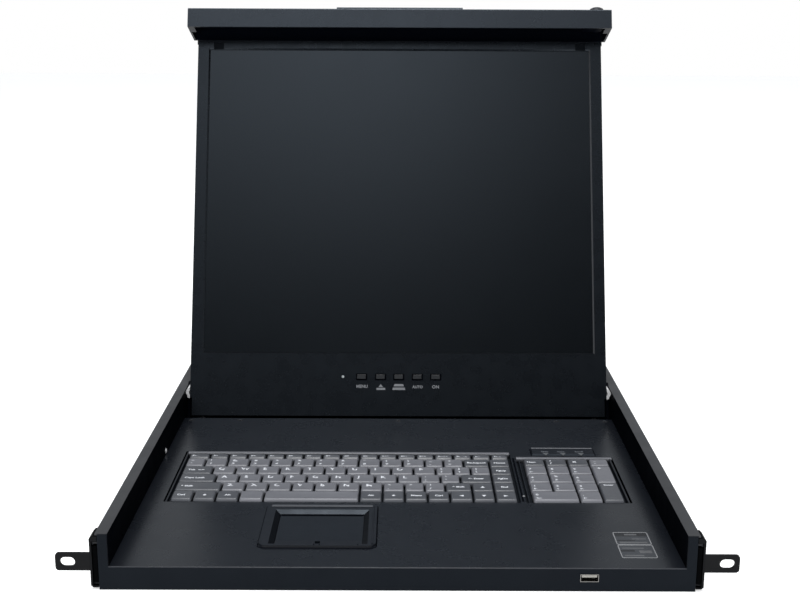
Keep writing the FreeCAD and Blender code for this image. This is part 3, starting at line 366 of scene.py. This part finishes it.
# legend text and shade for each key, left to right: D dark, L light
LEG = {
    "bottom_row_keys": [("Ctrl", "D"), ("*", "D"), ("Alt", "D"), ("", "L"), ("Alt", "D"), ("*", "D"), ("Menu", "D"), ("Ctrl", "D"), ("<", "D"), ("v", "D"), (">", "D")],
    "lower_letter_keys": [("^ Shift", "D")] + [(c, "L") for c in "ZXCVBNM,./"] + [("^ Shift", "D"), ("^", "D"), ("End", "D")],
    "home_row_keys": [("Caps Lock", "D")] + [(c, "L") for c in "ASDFGHJKL;'"] + [("<- Enter", "D"), ("PgDn", "D")],
    "upper_letter_keys": [("Tab  <->", "D")] + [(c, "L") for c in "QWERTYUIOP[]"] + [("\\", "L"), ("PgUp", "D")],
    "number_row_keys": [("`", "L")] + [(c, "L") for c in "1234567890-="] + [("Backspace", "D"), ("Home", "D")],
    "function_keys": [("Esc", "D")] + [("F%d" % i, "D") for i in range(1, 13)] + [("PrtSc", "D"), ("Pause", "D"), ("Ins", "D"), ("Del", "D")],
}
SHIFTED = dict(zip("1234567890-=`;',./[]\\", "!@#$%^&*()_+~:\"<>?{}|"))


def cap_profile(slope=False):
    # (height fraction 0..1, inset mm each side, inset front, inset back)
    if slope:
        return [(0.0, 0.0, 0.0, 0.0), (0.50, 0.40, 1.6, 0.20), (0.80, 0.66, 2.9, 0.32), (0.93, 0.90, 3.8, 0.45), (1.0, 1.30, 4.8, 0.90)]
    return [(0.0, 0.0, 0.0, 0.0), (0.45, 0.34, 0.45, 0.22), (0.74, 0.56, 0.95, 0.38), (0.90, 0.84, 1.65, 0.58), (0.975, 1.10, 2.25, 0.85), (1.0, 1.45, 2.90, 1.20)]


def rrect(x0, x1, y0, y1, r, z, seg=4):
    pts = []
    r = min(r, (x1 - x0) / 2 - 0.01, (y1 - y0) / 2 - 0.01)
    for cx, cy, a0 in ((x1 - r, y1 - r, 0), (x0 + r, y1 - r, 90), (x0 + r, y0 + r, 180), (x1 - r, y0 + r, 270)):
        for i in range(seg + 1):
            a = math.radians(a0 + 90.0 * i / seg)
            pts.append((cx + r * math.cos(a), cy + r * math.sin(a), z))
    return pts


DISH = 0.32


def dish_z(x, y, k):
    x0, x1, y0, y1 = k
    cx, cy = (x0 + x1) / 2, (y0 + y1) / 2
    u = (x - cx) / max(1e-6, (x1 - x0) / 2 - 1.3)
    if (x1 - x0) > 40:
        u = 0.0 if abs(x - cx) < (x1 - x0) / 2 - 9 else (abs(x - cx) - (x1 - x0) / 2 + 9) / 7.7
    v = (y - cy) / max(1e-6, (y1 - y0) / 2 - 1.3)
    f = max(0.0, (1 - min(1, u * u)) * (1 - 0.5 * min(1, v * v)))
    return KEY_TOP - DISH * f


def add_cap(V, F, MI, k, mi, slope=False):
    x0, x1, y0, y1 = k
    loops = []
    h = KEY_TOP - KEY_BOT
    prof = cap_profile(slope)
    for fz, s, fr, bk in prof:
        loops.append(rrect(x0 + s, x1 - s, y0 + fr, y1 - bk, 1.3 if fz < 0.9 else 1.15, KEY_BOT + h * fz))
    top = loops[-1]
    cx = (x0 + x1) / 2
    cy = (y0 + prof[-1][2] + y1 - prof[-1][3]) / 2
    for s in (0.86, 0.62, 0.34):
        loops.append([(cx + (p[0] - cx) * s, cy + (p[1] - cy) * s, dish_z(cx + (p[0] - cx) * s, cy + (p[1] - cy) * s, k)) for p in top])
    base = len(V)
    n = len(loops[0])
    for lp in loops:
        V += [W(*p) for p in lp]
    for a in range(len(loops) - 1):
        for i in range(n):
            j = (i + 1) % n
            F.append((base + a * n + i, base + a * n + j, base + (a + 1) * n + j, base + (a + 1) * n + i))
            MI.append(mi)
    V.append(W(cx, cy, dish_z(cx, cy, k)))
    c = len(V) - 1
    last = base + (len(loops) - 1) * n
    for i in range(n):
        F.append((last + i, last + (i + 1) % n, c))
        MI.append(mi)
    F.append(tuple(base + i for i in range(n))[::-1])
    MI.append(mi)


def text_mesh(body, size, width=0.0):
    cu = bpy.data.curves.new("t", "FONT")
    cu.body = body
    cu.size = size
    cu.align_x = "LEFT"
    cu.resolution_u = 3
    cu.offset = width
    ob = bpy.data.objects.new("t", cu)
    col.objects.link(ob)
    bpy.context.view_layer.update()
    me = bpy.data.meshes.new_from_object(ob.evaluated_get(bpy.context.evaluated_depsgraph_get()))
    vs = [tuple(v.co) for v in me.vertices]
    fs = [tuple(p.vertices) for p in me.polygons]
    bpy.data.objects.remove(ob)
    bpy.data.curves.remove(cu)
    bpy.data.meshes.remove(me)
    return vs, fs


_tc = {}


def glyph(body):
    """Text outline at size 1, cached."""
    if body not in _tc:
        _tc[body] = text_mesh(body, 1.0, 0.032)
    return _tc[body]


def put_text(V, F, body, x, y, size, height):
    """Text with its lower left corner at x, y in mm; height(x, y) gives z in mm."""
    vs, fs = glyph(body)
    b = len(V)
    for p in vs:
        px, py = x + p[0] * size, y + p[1] * size
        V.append(W(px, py, height(px, py) + 0.03))
    F += [tuple(b + i for i in f) for f in fs]


def icon(V, F, kind, x, y, s, height):
    def poly(pts):
        b = len(V)
        V.extend([W(x + a * s, y + c * s, height(x + a * s, y + c * s) + 0.03) for a, c in pts])
        F.append(tuple(range(b, b + len(pts))))
    if kind == "*":            # one small diamond: a plain mark for the system keys
        poly([(0.5, 0.1), (0.85, 0.45), (0.5, 0.8), (0.15, 0.45)])
    elif kind == "<":
        poly([(0.9, 0.1), (0.9, 0.8), (0.1, 0.45)])
    elif kind == ">":
        poly([(0.1, 0.1), (0.9, 0.45), (0.1, 0.8)])
    elif kind == "^":
        poly([(0.1, 0.1), (0.9, 0.1), (0.5, 0.85)])
    elif kind == "v":
        poly([(0.1, 0.8), (0.5, 0.05), (0.9, 0.8)])


def keyset(node, caps, legends):
    V, F, MI = [], [], []
    LV, LF = [], []
    for k, (txt, shade) in zip(caps, legends):
        g = GAP
        kk = (k[0] + g, k[1] - g, k[2] + g, k[3] - g)
        add_cap(V, F, MI, kk, 0 if shade == "L" else 1, node == "function_keys")
        hz = lambda a, b, kk=kk: dish_z(a, b, kk)
        if node == "number_pad_keys" and kk[3] - kk[2] > 24.0:
            hz = lambda a, b: KEY_TOP
        w, h = kk[1] - kk[0], kk[3] - kk[2]
        if txt in ("*", "<", ">", "^", "v") and shade == "D":
            icon(LV, LF, txt, kk[0] + w / 2 - 2.4, kk[2] + h / 2 - 1.6, 4.6, hz)
        elif len(txt) == 1:
            if txt in SHIFTED:
                put_text(LV, LF, txt, kk[0] + 3.6, kk[2] + 4.0, 5.0, hz)
                put_text(LV, LF, SHIFTED[txt], kk[0] + 3.6, kk[3] - 5.6, 4.2, hz)
            else:
                put_text(LV, LF, txt, kk[0] + 4.2, kk[3] - 7.6, 6.4, hz)
        elif txt:
            lines = txt.split("|")
            for i, t in enumerate(lines):
                sz = 3.9 if len(lines) == 1 else 3.2
                if node == "number_pad_keys":
                    sz = 4.4 if i == 0 and len(lines) > 1 else 3.7
                wd = max(q[0] for q in glyph(t)[0]) * sz
                tx, ty = kk[0] + 2.6, kk[2] + h / 2 - 0.6 - 4.0 * i
                if node == "number_pad_keys":
                    ty = kk[3] - 0.37 * h - 1.6 if i == 0 else kk[2] + 3.5
                    if t == "Enter":
                        tx, ty = kk[0] + w / 2 - wd / 2, kk[3] - 6.0
                    elif len(lines) == 1:
                        ty = kk[2] + h / 2 - 0.6
                elif node != "function_keys" and shade == "D":
                    tx = kk[0] + 4.2 if k[0] < -160.0 else kk[0] + w / 2 - wd / 2
                put_text(LV, LF, t, tx, ty, sz, hz)
    ob = new_mesh(node + "_caps", V, F, [M["keylight"], M["keydark"]], MI, smooth=True, body=node + "_body")
    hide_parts(node)
    if LV:
        lo = new_mesh(node + "_legends", LV, LF, [M["ink"]], None, smooth=False, body=node + "_body")
    return ob


for nm, (r, xs) in ROWS.items():
    caps = [(a, b, ROW_Y[r], ROW_Y[r + 1]) for a, b in zip(xs[:-1], xs[1:]) if a is not None and b is not None]
    keyset(nm, caps, LEG[nm])
keyset("space_bar", [(SPACE_X[0], SPACE_X[1], ROW_Y[0], ROW_Y[1])], [("", "L")])
caps, legs = [], []
lab = {(1, 0): "1|End", (1, 1): "2|v", (1, 2): "3|PgDn", (2, 0): "4|<", (2, 1): "5", (2, 2): "6|>", (3, 0): "7|Home", (3, 1): "8|^", (3, 2): "9|PgUp",
       (4, 0): "Num", (4, 1): "/", (4, 2): "x"}
for r in range(1, 5):
    for c in range(3):
        caps.append((PAD_X[c], PAD_X[c + 1], PAD_Y[r], PAD_Y[r + 1]))
        legs.append((lab[(r, c)], "D" if r == 4 else "L"))
caps += [(PAD_X[0], PAD_X[2], PAD_Y[0], PAD_Y[1]), (PAD_X[2], PAD_X[3], PAD_Y[0], PAD_Y[1]), (PAD_X[3], PAD_X[4], PAD_Y[4], PAD_Y[5]),
         (PAD_X[3], PAD_X[4], PAD_Y[2], PAD_Y[4]), (PAD_X[3], PAD_X[4], PAD_Y[0], PAD_Y[2])]
legs += [("0|Ins", "L"), (".|Del", "L"), ("-", "L"), ("+", "L"), ("Enter", "D")]
keyset("number_pad_keys", caps, legs)

# ------------------------------------------------------------------ small trim
def prism(name, pts, a0, a1, axis, mat, body, bevel=0.0, seg=2):
    """Closed outline swept along one axis. pts are (y, z) for axis x, (x, z) for axis y and (x, y) for axis z."""
    n = len(pts)
    if axis == "x":
        ring = lambda a: [W(a, p, q) for p, q in pts]
    elif axis == "y":
        ring = lambda a: [W(p, a, q) for p, q in pts]
    else:
        ring = lambda a: [W(p, q, a) for p, q in pts]
    V = ring(a0) + ring(a1)
    F = [(i, (i + 1) % n, n + (i + 1) % n, n + i) for i in range(n)] + [tuple(range(n))[::-1], tuple(range(n, 2 * n))]
    ob = new_mesh(name, V, F, [mat], None, smooth=False, body=body)
    if bevel:
        md = ob.modifiers.new("edge_round", "BEVEL")
        md.width = bevel / 1000.0
        md.segments = seg
        md.limit_method = "ANGLE"
        md.angle_limit = math.radians(25)
    return ob


# frame strip of the key field, behind the function row and behind the number pad, in a pale key colour as a painted
# highlight
for nm, x0, x1, y0, y1, zt in (("key_frame_back", -184.6, 97.8, 224.9, 229.1, 17.72), ("key_frame_pad", 103.0, 186.4, 214.2, 218.1, 17.72)):
    o = prism(nm, [(y0, 15.9), (y0, 16.9), (y0 + 0.25, 17.3), (y0 + 0.7, 17.58), (y0 + 1.3, zt), (y1 - 0.5, zt), (y1, zt - 0.25), (y1, 15.9)], x0, x1, "x", M["keyframe"], "drawer", 0.12)

# ribs and channels between the two key fields; a black strip in the groove as painted shade
o = prism("divider_channel_painted_shade", [(99.45, 17.02), (99.45, 17.2), (99.7, 17.34), (100.7, 17.34), (100.95, 17.2), (100.95, 17.02)], 119.0, 214.6, "y", M["black"], "drawer", 0.05)
o = prism("pad_edge_rib", [(104.7, 13.3), (104.7, 16.4), (104.95, 16.75), (105.65, 16.75), (105.9, 16.4), (105.9, 13.3)], 118.0, 213.6, "y", M["trim"], "drawer", 0.08)


def dome(name, x, y, z, r, h, mat, body, seg=18):
    """Low turned head with a chamfered rim, standing on a flat face."""
    prof = [(1.0, -0.25), (1.0, 0.30), (0.92, 0.55), (0.74, 0.80), (0.45, 0.95), (0.2, 1.0)]
    V, F = [], []
    for pr, ph in prof:
        V += [W(x + r * pr * math.cos(2 * math.pi * i / seg), y + r * pr * math.sin(2 * math.pi * i / seg), z + h * ph) for i in range(seg)]
    for a in range(len(prof) - 1):
        for i in range(seg):
            j = (i + 1) % seg
            F.append((a * seg + i, a * seg + j, (a + 1) * seg + j, (a + 1) * seg + i))
    F.append(tuple(range((len(prof) - 1) * seg, len(prof) * seg)))
    F.append(tuple(range(seg))[::-1])
    return new_mesh(name, V, F, [mat], None, smooth=True, body=body)


dome("divider_pin", 101.6, 129.9, 17.6, 1.05, 0.55, M["label_edge"], "drawer")

# indicator bar: back bead in the pale key colour as a painted highlight, generic lock light names and three small
# triangular lenses
prism("indicator_bead", [(235.5, 18.6), (235.5, 19.05), (235.8, 19.28), (236.4, 19.28), (236.75, 19.0), (236.75, 18.6)], 118.2, 172.0, "x", M["keyframe"], "drawer", 0.05)
V, F = [], []
for x in (129.7, 144.9, 160.6):
    b = len(V)
    tri = [(-2.9, 2.1), (2.9, 2.1), (0.35, -2.3), (-0.35, -2.3)]
    for zz, k in ((18.2, 1.0), (19.08, 1.0), (19.22, 0.86)):
        V += [W(x + p * k, 222.2 + q * k, zz) for p, q in tri]
    for a in (0, 4):
        F += [(b + a + i, b + a + (i + 1) % 4, b + a + 4 + (i + 1) % 4, b + a + 4 + i) for i in range(4)]
    F += [(b + 3, b + 2, b + 1, b), (b + 8, b + 9, b + 10, b + 11)]
o = new_mesh("indicator_lenses", V, F, [M["tri"]], None, smooth=False, body="drawer")
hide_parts("indicator_lights")
V, F = [], []
for x, t in ((129.4, "Num"), (144.2, "Caps"), (160.2, "Scroll")):
    put_text(V, F, t, x - {"Num": 3.2, "Caps": 3.8, "Scroll": 4.2}[t], 226.3, 3.1, lambda a, b: 19.03)
new_mesh("indicator_legends", V, F, [M["ink_dim"]], None, smooth=False, body="drawer")

# painted shadow: a dark ring at deck level round the touchpad frame
def ring(name, x0, x1, y0, y1, r, w, z0, z1, mat, body):
    o = [rrect(x0 - w, x1 + w, y0 - w, y1 + w, r + w, z0, 5), rrect(x0 - w, x1 + w, y0 - w, y1 + w, r + w, z1, 5), rrect(x0, x1, y0, y1, r, z1, 5), rrect(x0, x1, y0, y1, r, z0, 5)]
    n = len(o[0])
    V = [W(*p) for lp in o for p in lp]
    F = [(a * n + i, a * n + (i + 1) % n, ((a + 1) % 4) * n + (i + 1) % n, ((a + 1) % 4) * n + i) for a in range(4) for i in range(n)]
    return new_mesh(name, V, F, [mat], None, smooth=False, body=body)


# painted shadow rings round the touchpad frame and the indicator bar
ring("touchpad_parting", -102.25, -16.05, 32.05, 109.05, 3.0, 0.95, 17.45, 17.66, M["black"], "drawer")
ring("indicator_parting", 117.35, 172.85, 220.75, 236.85, 1.2, 0.7, 17.45, 17.66, M["black"], "drawer")
# touchpad frame: raised bead along the back, painted pale as a highlight, and one along the right
prism("touchpad_bead_back", [(102.3, 19.6), (102.3, 19.95), (102.8, 20.12), (105.2, 20.12), (105.8, 19.9), (105.8, 19.6)], -98.6, -19.6, "x", M["krim"], "drawer", 0.06)
prism("touchpad_bead_right", [(-19.4, 19.6), (-19.4, 19.86), (-19.1, 19.98), (-18.3, 19.98), (-18.0, 19.86), (-18.0, 19.6)], 35.0, 103.5, "y", M["trim"], "drawer", 0.05)


# shadow gap behind the pad film, and the gaps beside the two pad buttons
prism("touchpad_gap_back", [(91.9, 16.2), (91.9, 16.42), (93.7, 16.42), (93.7, 16.2)], -90.2, -27.0, "x", M["black"], "drawer", 0.03)
for i, x in enumerate((-61.3, -57.3, -29.3)):
    prism("touchpad_notch_%d" % (i + 1), [(x - 0.35, 19.2), (x - 0.35, 19.56), (x + 0.35, 19.56), (x + 0.35, 19.2)], 32.5, 34.9, "y", M["black"], "drawer", 0.02)


# seam strip along the joint between the lid shell and the back wall of the bar
V, F = [], []
ring = [(15.08, 372.12), (15.17, 372.03), (15.83, 372.03), (15.92, 372.12), (15.92, 372.28), (15.83, 372.37), (15.17, 372.37), (15.08, 372.28)]
xs_ = [-203.0 + 406.0 * i / 24 for i in range(25)]
for x in xs_:
    V += [L(x, v, t) for v, t in ring]
for i in range(24):
    for j in range(8):
        F.append((i * 8 + j, i * 8 + (j + 1) % 8, (i + 1) * 8 + (j + 1) % 8, (i + 1) * 8 + j))
F += [tuple(range(8)), tuple(24 * 8 + j for j in reversed(range(8)))]
new_mesh("bar_seam_strip", V, F, [M["tray_in"]], None, smooth=False, body="lid")


# two blank label plates with a pale rounded border, front right of the deck
def label_plate(name, x0, x1, y0, y1, z, w):
    o1, o2 = rrect(x0, x1, y0, y1, 1.8, z - 0.05, 5), rrect(x0 + 0.08, x1 - 0.08, y0 + 0.08, y1 - 0.08, 1.75, z + 0.13, 5)
    o3 = rrect(x0 + w, x1 - w, y0 + w, y1 - w, 1.1, z + 0.13, 5)
    o4 = rrect(x0 + w + 0.05, x1 - w - 0.05, y0 + w + 0.05, y1 - w - 0.05, 1.05, z + 0.07, 5)
    loops = [o1, o2, o3, o4]
    n = len(o1)
    V = [W(*p) for lp in loops for p in lp]
    F, MI = [], []
    for a in range(3):
        for i in range(n):
            F.append((a * n + i, a * n + (i + 1) % n, (a + 1) * n + (i + 1) % n, (a + 1) * n + i))
            MI.append(1)
    F.append(tuple(3 * n + i for i in range(n)))
    MI.append(0)
    F.append(tuple(range(n))[::-1])
    MI.append(1)
    return new_mesh(name, V, F, [M["label"], M["label_edge"]], MI, smooth=False, body="drawer")


label_plate("blank_label_upper", 161.3, 187.4, 39.3, 61.2, 17.6, 0.75)
label_plate("blank_label_lower", 161.3, 187.4, 17.0, 38.9, 17.6, 0.75)


def flat_bars(name, bars, mat):
    """Thin raised printing on the plates: plain bars only."""
    V, F = [], []
    for x0, x1, y0, y1, z in bars:
        b = len(V)
        for k, zz in ((0.0, z - 0.05), (0.04, z)):
            V.extend([W(x0 + k, y0 + k, zz), W(x1 - k, y0 + k, zz), W(x1 - k, y1 - k, zz), W(x0 + k, y1 - k, zz)])
        F += [(b + i, b + (i + 1) % 4, b + 4 + (i + 1) % 4, b + 4 + i) for i in range(4)] + [(b + 4, b + 5, b + 6, b + 7), (b + 3, b + 2, b + 1, b)]
    return new_mesh(name, V, F, [mat], None, smooth=False, body="drawer")


flat_bars("label_bands", [(162.3, 186.4, 53.6, 60.2, 17.69), (162.3, 172.6, 27.4, 30.4, 17.69), (162.3, 176.0, 45.6, 47.6, 17.69)], M["label_band"])
flat_bars("label_rules", [(169.6, 178.8, 55.6, 58.0, 17.71), (164.0, 184.6, 42.0, 44.2, 17.70), (174.0, 184.6, 48.6, 50.0, 17.70), (164.0, 178.0, 20.0, 22.0, 17.70),
                          (164.0, 180.0, 32.6, 34.0, 17.70), (175.6, 184.6, 25.0, 29.4, 17.70)], M["label_rule"])

# bright link of each hinge, beside the lid edge
LINK = [(200.2, 46.4), (201.5, 46.2), (202.9, 43.8), (203.85, 41.9), (203.9, 39.6), (203.2, 37.9), (202.7, 36.4), (202.3, 34.4), (201.4, 33.4), (200.15, 33.4),
        (200.15, 36.2), (200.7, 38.0), (201.0, 39.6), (200.9, 41.4), (200.2, 43.2)]
for sgn, nm in ((1, "right"), (-1, "left")):
    o = prism("hinge_link_" + nm, [(sgn * a, 33.4 + (z - 33.4) * 0.78) for a, z in LINK], 330.4, 342.7, "y", M["zinc_bright"], "drawer", 0.18)

# generic names and marks under the menu buttons, and a painted shadow round each button: a dark ring, wider to the
# right and below
V, F = [], []


def lid_poly(pts):
    b = len(V)
    V.extend([L(x, -0.03, t) for x, t in pts])
    F.append(tuple(range(b, b + len(pts))))


def lid_text(txt, x0, x1, t0):
    vs, fs = glyph(txt)
    wmax = max(p[0] for p in vs)
    k = (x1 - x0) / wmax
    b = len(V)
    V.extend([L(x0 + p[0] * k, -0.03, t0 + p[1] * k) for p in vs])
    F.extend([tuple(b + i for i in f) for f in fs])


lid_text("MENU", -40.5, -29.5, 26.9)
lid_poly([(-16.9 - 2.3, 27.6), (-16.9 + 2.3, 27.6), (-16.9, 30.4)])
lid_poly([(-21.0, 24.9), (-12.6, 24.9), (-12.6, 26.9), (-21.0, 26.9)])
lid_poly([(-4.5, 28.4), (5.5, 28.4), (4.6, 30.6), (-3.6, 30.6)])
lid_poly([(-5.7, 24.9), (6.7, 24.9), (6.3, 27.2), (-5.3, 27.2)])
lid_text("AUTO", 13.5, 23.5, 26.7)
lid_text("ON", 32.5, 39.1, 26.6)
ob = new_mesh("menu_marks", V, F, [M["ink_mid"]], None, smooth=False, body="lid")
# painted shadow: a dark ring round each button, wider on the right and below
for i, x in enumerate((-35.5, -17.3, 0.2, 18.1, 35.8)):
    V, F = [], []
    rings = [((x - 5.20, x + 5.60, 34.05, 40.50), -0.08), ((x - 5.05, x + 5.05, 34.65, 40.35), -0.02), ((x - 5.05, x + 5.05, 34.65, 40.35), 1.2), ((x - 5.20, x + 5.60, 34.05, 40.50), 1.2)]
    loops = [[(p[0], v, p[1]) for p in rrect(r[0], r[1], r[2], r[3], 0.5, 0, 3)] for r, v in rings]
    n = len(loops[0])
    V = [L(*p) for lp in loops for p in lp]
    for a in range(4):
        for j in range(n):
            F.append((a * n + j, a * n + (j + 1) % n, ((a + 1) % 4) * n + (j + 1) % n, ((a + 1) % 4) * n + j))
    new_mesh("menu_button_painted_shadow_%d" % (i + 1), V, F, [M["black"]], None, smooth=False, body="lid")

# ------------------------------------------------------------------ camera
f_px = 1241.125
cam_d = bpy.data.cameras.new("camera")
cam_d.sensor_width = 36.0
cam_d.sensor_fit = "HORIZONTAL"
cam_d.lens = f_px * 36.0 / 800.0
cam_d.clip_start = 0.05
cam_d.clip_end = 50
cam = bpy.data.objects.new("camera", cam_d)
col.objects.link(cam)
yaw, pitch, roll = math.radians(0.056), math.radians(13.726), math.radians(0.236)
fwd = Vector((math.sin(yaw) * math.cos(pitch), math.cos(yaw) * math.cos(pitch), -math.sin(pitch)))
right = Vector((math.cos(yaw), -math.sin(yaw), 0.0))
up = right.cross(fwd)
r2 = right * math.cos(roll) + up * math.sin(roll)
u2 = -right * math.sin(roll) + up * math.cos(roll)
mw = Matrix((r2, u2, -fwd)).transposed().to_4x4()
mw.translation = W(0.16, -804.98, 408.48)
cam.matrix_world = mw
scene.camera = cam

# ------------------------------------------------------------------ stage and light
FLOOR_Z = -0.0212
fl = bpy.data.meshes.new("floor")
S = 6.0
fl.from_pydata([(-S, -S, FLOOR_Z), (S, -S, FLOOR_Z), (S, S, FLOOR_Z), (-S, S, FLOOR_Z)], [], [(0, 1, 2, 3)])
floor = bpy.data.objects.new("floor", fl)
col.objects.link(floor)
fm = bpy.data.materials.new("floor_white")
nt, ns_, lk_ = nodes_of(fm)
ns_["Principled BSDF"].inputs["Base Color"].default_value = (0.86, 0.86, 0.86, 1)
ns_["Principled BSDF"].inputs["Roughness"].default_value = 0.9
ns_["Principled BSDF"].inputs["Specular IOR Level"].default_value = 0.0
ns_["Principled BSDF"].inputs["Emission Color"].default_value = (1, 1, 1, 1)
ns_["Principled BSDF"].inputs["Emission Strength"].default_value = 0.5
fl.materials.append(fm)

FZ = [(0.0, 0.30), (0.22, 0.22), (0.32, 0.11), (0.40, 0.11), (0.455, 0.24), (0.49, 0.44), (0.53, 0.76), (0.57, 1.10), (0.615, 1.50), (0.65, 1.95), (0.72, 2.15), (0.84, 1.45), (1.0, 1.40)]
GX = [(0.0, 0.60), (0.30, 0.62), (0.417, 0.72), (0.445, 0.88), (0.475, 1.0), (0.50, 0.96), (0.525, 0.72), (0.55, 0.46), (0.583, 0.22), (0.63, 0.20), (0.75, 0.50), (1.0, 0.60)]
world = bpy.data.worlds.new("world")
scene.world = world
world.use_nodes = True
wn, wl = world.node_tree.nodes, world.node_tree.links


def wmath(op, a, b=None, clamp=False):
    n = wn.new("ShaderNodeMath")
    n.operation = op
    n.use_clamp = clamp
    for i, v in enumerate((a, b)):
        if v is None:
            continue
        if isinstance(v, (int, float)):
            n.inputs[i].default_value = v
        else:
            wl.new(v, n.inputs[i])
    return n.outputs[0]


# room light: pale sides and back; in front a soft window high up, strongest a little to the left, darker below it
tcw = wn.new("ShaderNodeTexCoord")
sep = wn.new("ShaderNodeSeparateXYZ")
wl.new(tcw.outputs["Generated"], sep.inputs[0])


def ramp(src, stops):
    r = wn.new("ShaderNodeValToRGB")
    cr = r.color_ramp
    cr.elements[0].position = stops[0][0]
    cr.elements[0].color = (stops[0][1],) * 3 + (1,)
    cr.elements[1].position = stops[-1][0]
    cr.elements[1].color = (stops[-1][1],) * 3 + (1,)
    for pos, v in stops[1:-1]:
        e = cr.elements.new(pos)
        e.color = (v, v, v, 1)
    wl.new(src, r.inputs[0])
    return r.outputs[0]


high = ramp(sep.outputs[2], FZ)
side = ramp(wmath("ADD", wmath("MULTIPLY", sep.outputs[0], 0.5), 0.5), GX)
fm_ = wn.new("ShaderNodeMapRange")
fm_.interpolation_type = "SMOOTHSTEP"
fm_.inputs["From Min"].default_value = 0.0
fm_.inputs["From Max"].default_value = 0.45
wl.new(wmath("MULTIPLY", sep.outputs[1], -1.0), fm_.inputs["Value"])
back = 0.50
lum = wmath("ADD", back, wmath("MULTIPLY", fm_.outputs[0], wmath("SUBTRACT", wmath("MULTIPLY", high, side), back)))
bg = wn["Background"]
bg.inputs["Color"].default_value = (0.95, 0.975, 1.0, 1)
wl.new(lum, bg.inputs["Strength"])
bg2 = wn.new("ShaderNodeBackground")
bg2.inputs["Color"].default_value = (1, 1, 1, 1)
bg2.inputs["Strength"].default_value = 1.0
lp = wn.new("ShaderNodeLightPath")
mixs = wn.new("ShaderNodeMixShader")
wl.new(lp.outputs["Is Camera Ray"], mixs.inputs[0])
wl.new(bg.outputs[0], mixs.inputs[1])
wl.new(bg2.outputs[0], mixs.inputs[2])
wl.new(mixs.outputs[0], wn["World Output"].inputs["Surface"])


def area(name, loc, target, size, power, size_y=None, color=(1, 1, 1)):
    ld = bpy.data.lights.new(name, "AREA")
    ld.shape = "RECTANGLE"
    ld.size = size
    ld.size_y = size_y or size
    ld.energy = power
    ld.color = color
    ob = bpy.data.objects.new(name, ld)
    col.objects.link(ob)
    ob.location = loc
    d = Vector(target) - Vector(loc)
    ob.rotation_euler = d.to_track_quat("-Z", "Y").to_euler()
    return ob


area("top_soft", (0.0, 0.05, 3.0), (0, 0.15, 0), 1.3, 60, 1.1)
fill = area("front_soft", (-0.15, -1.95, 0.45), (0, 0.10, 0), 1.6, 30, 0.45)
fill.visible_glossy = False

scene.view_settings.view_transform = "Standard"
scene.view_settings.look = "None"
scene.view_settings.exposure = 0.0
scene.view_settings.gamma = 1.0
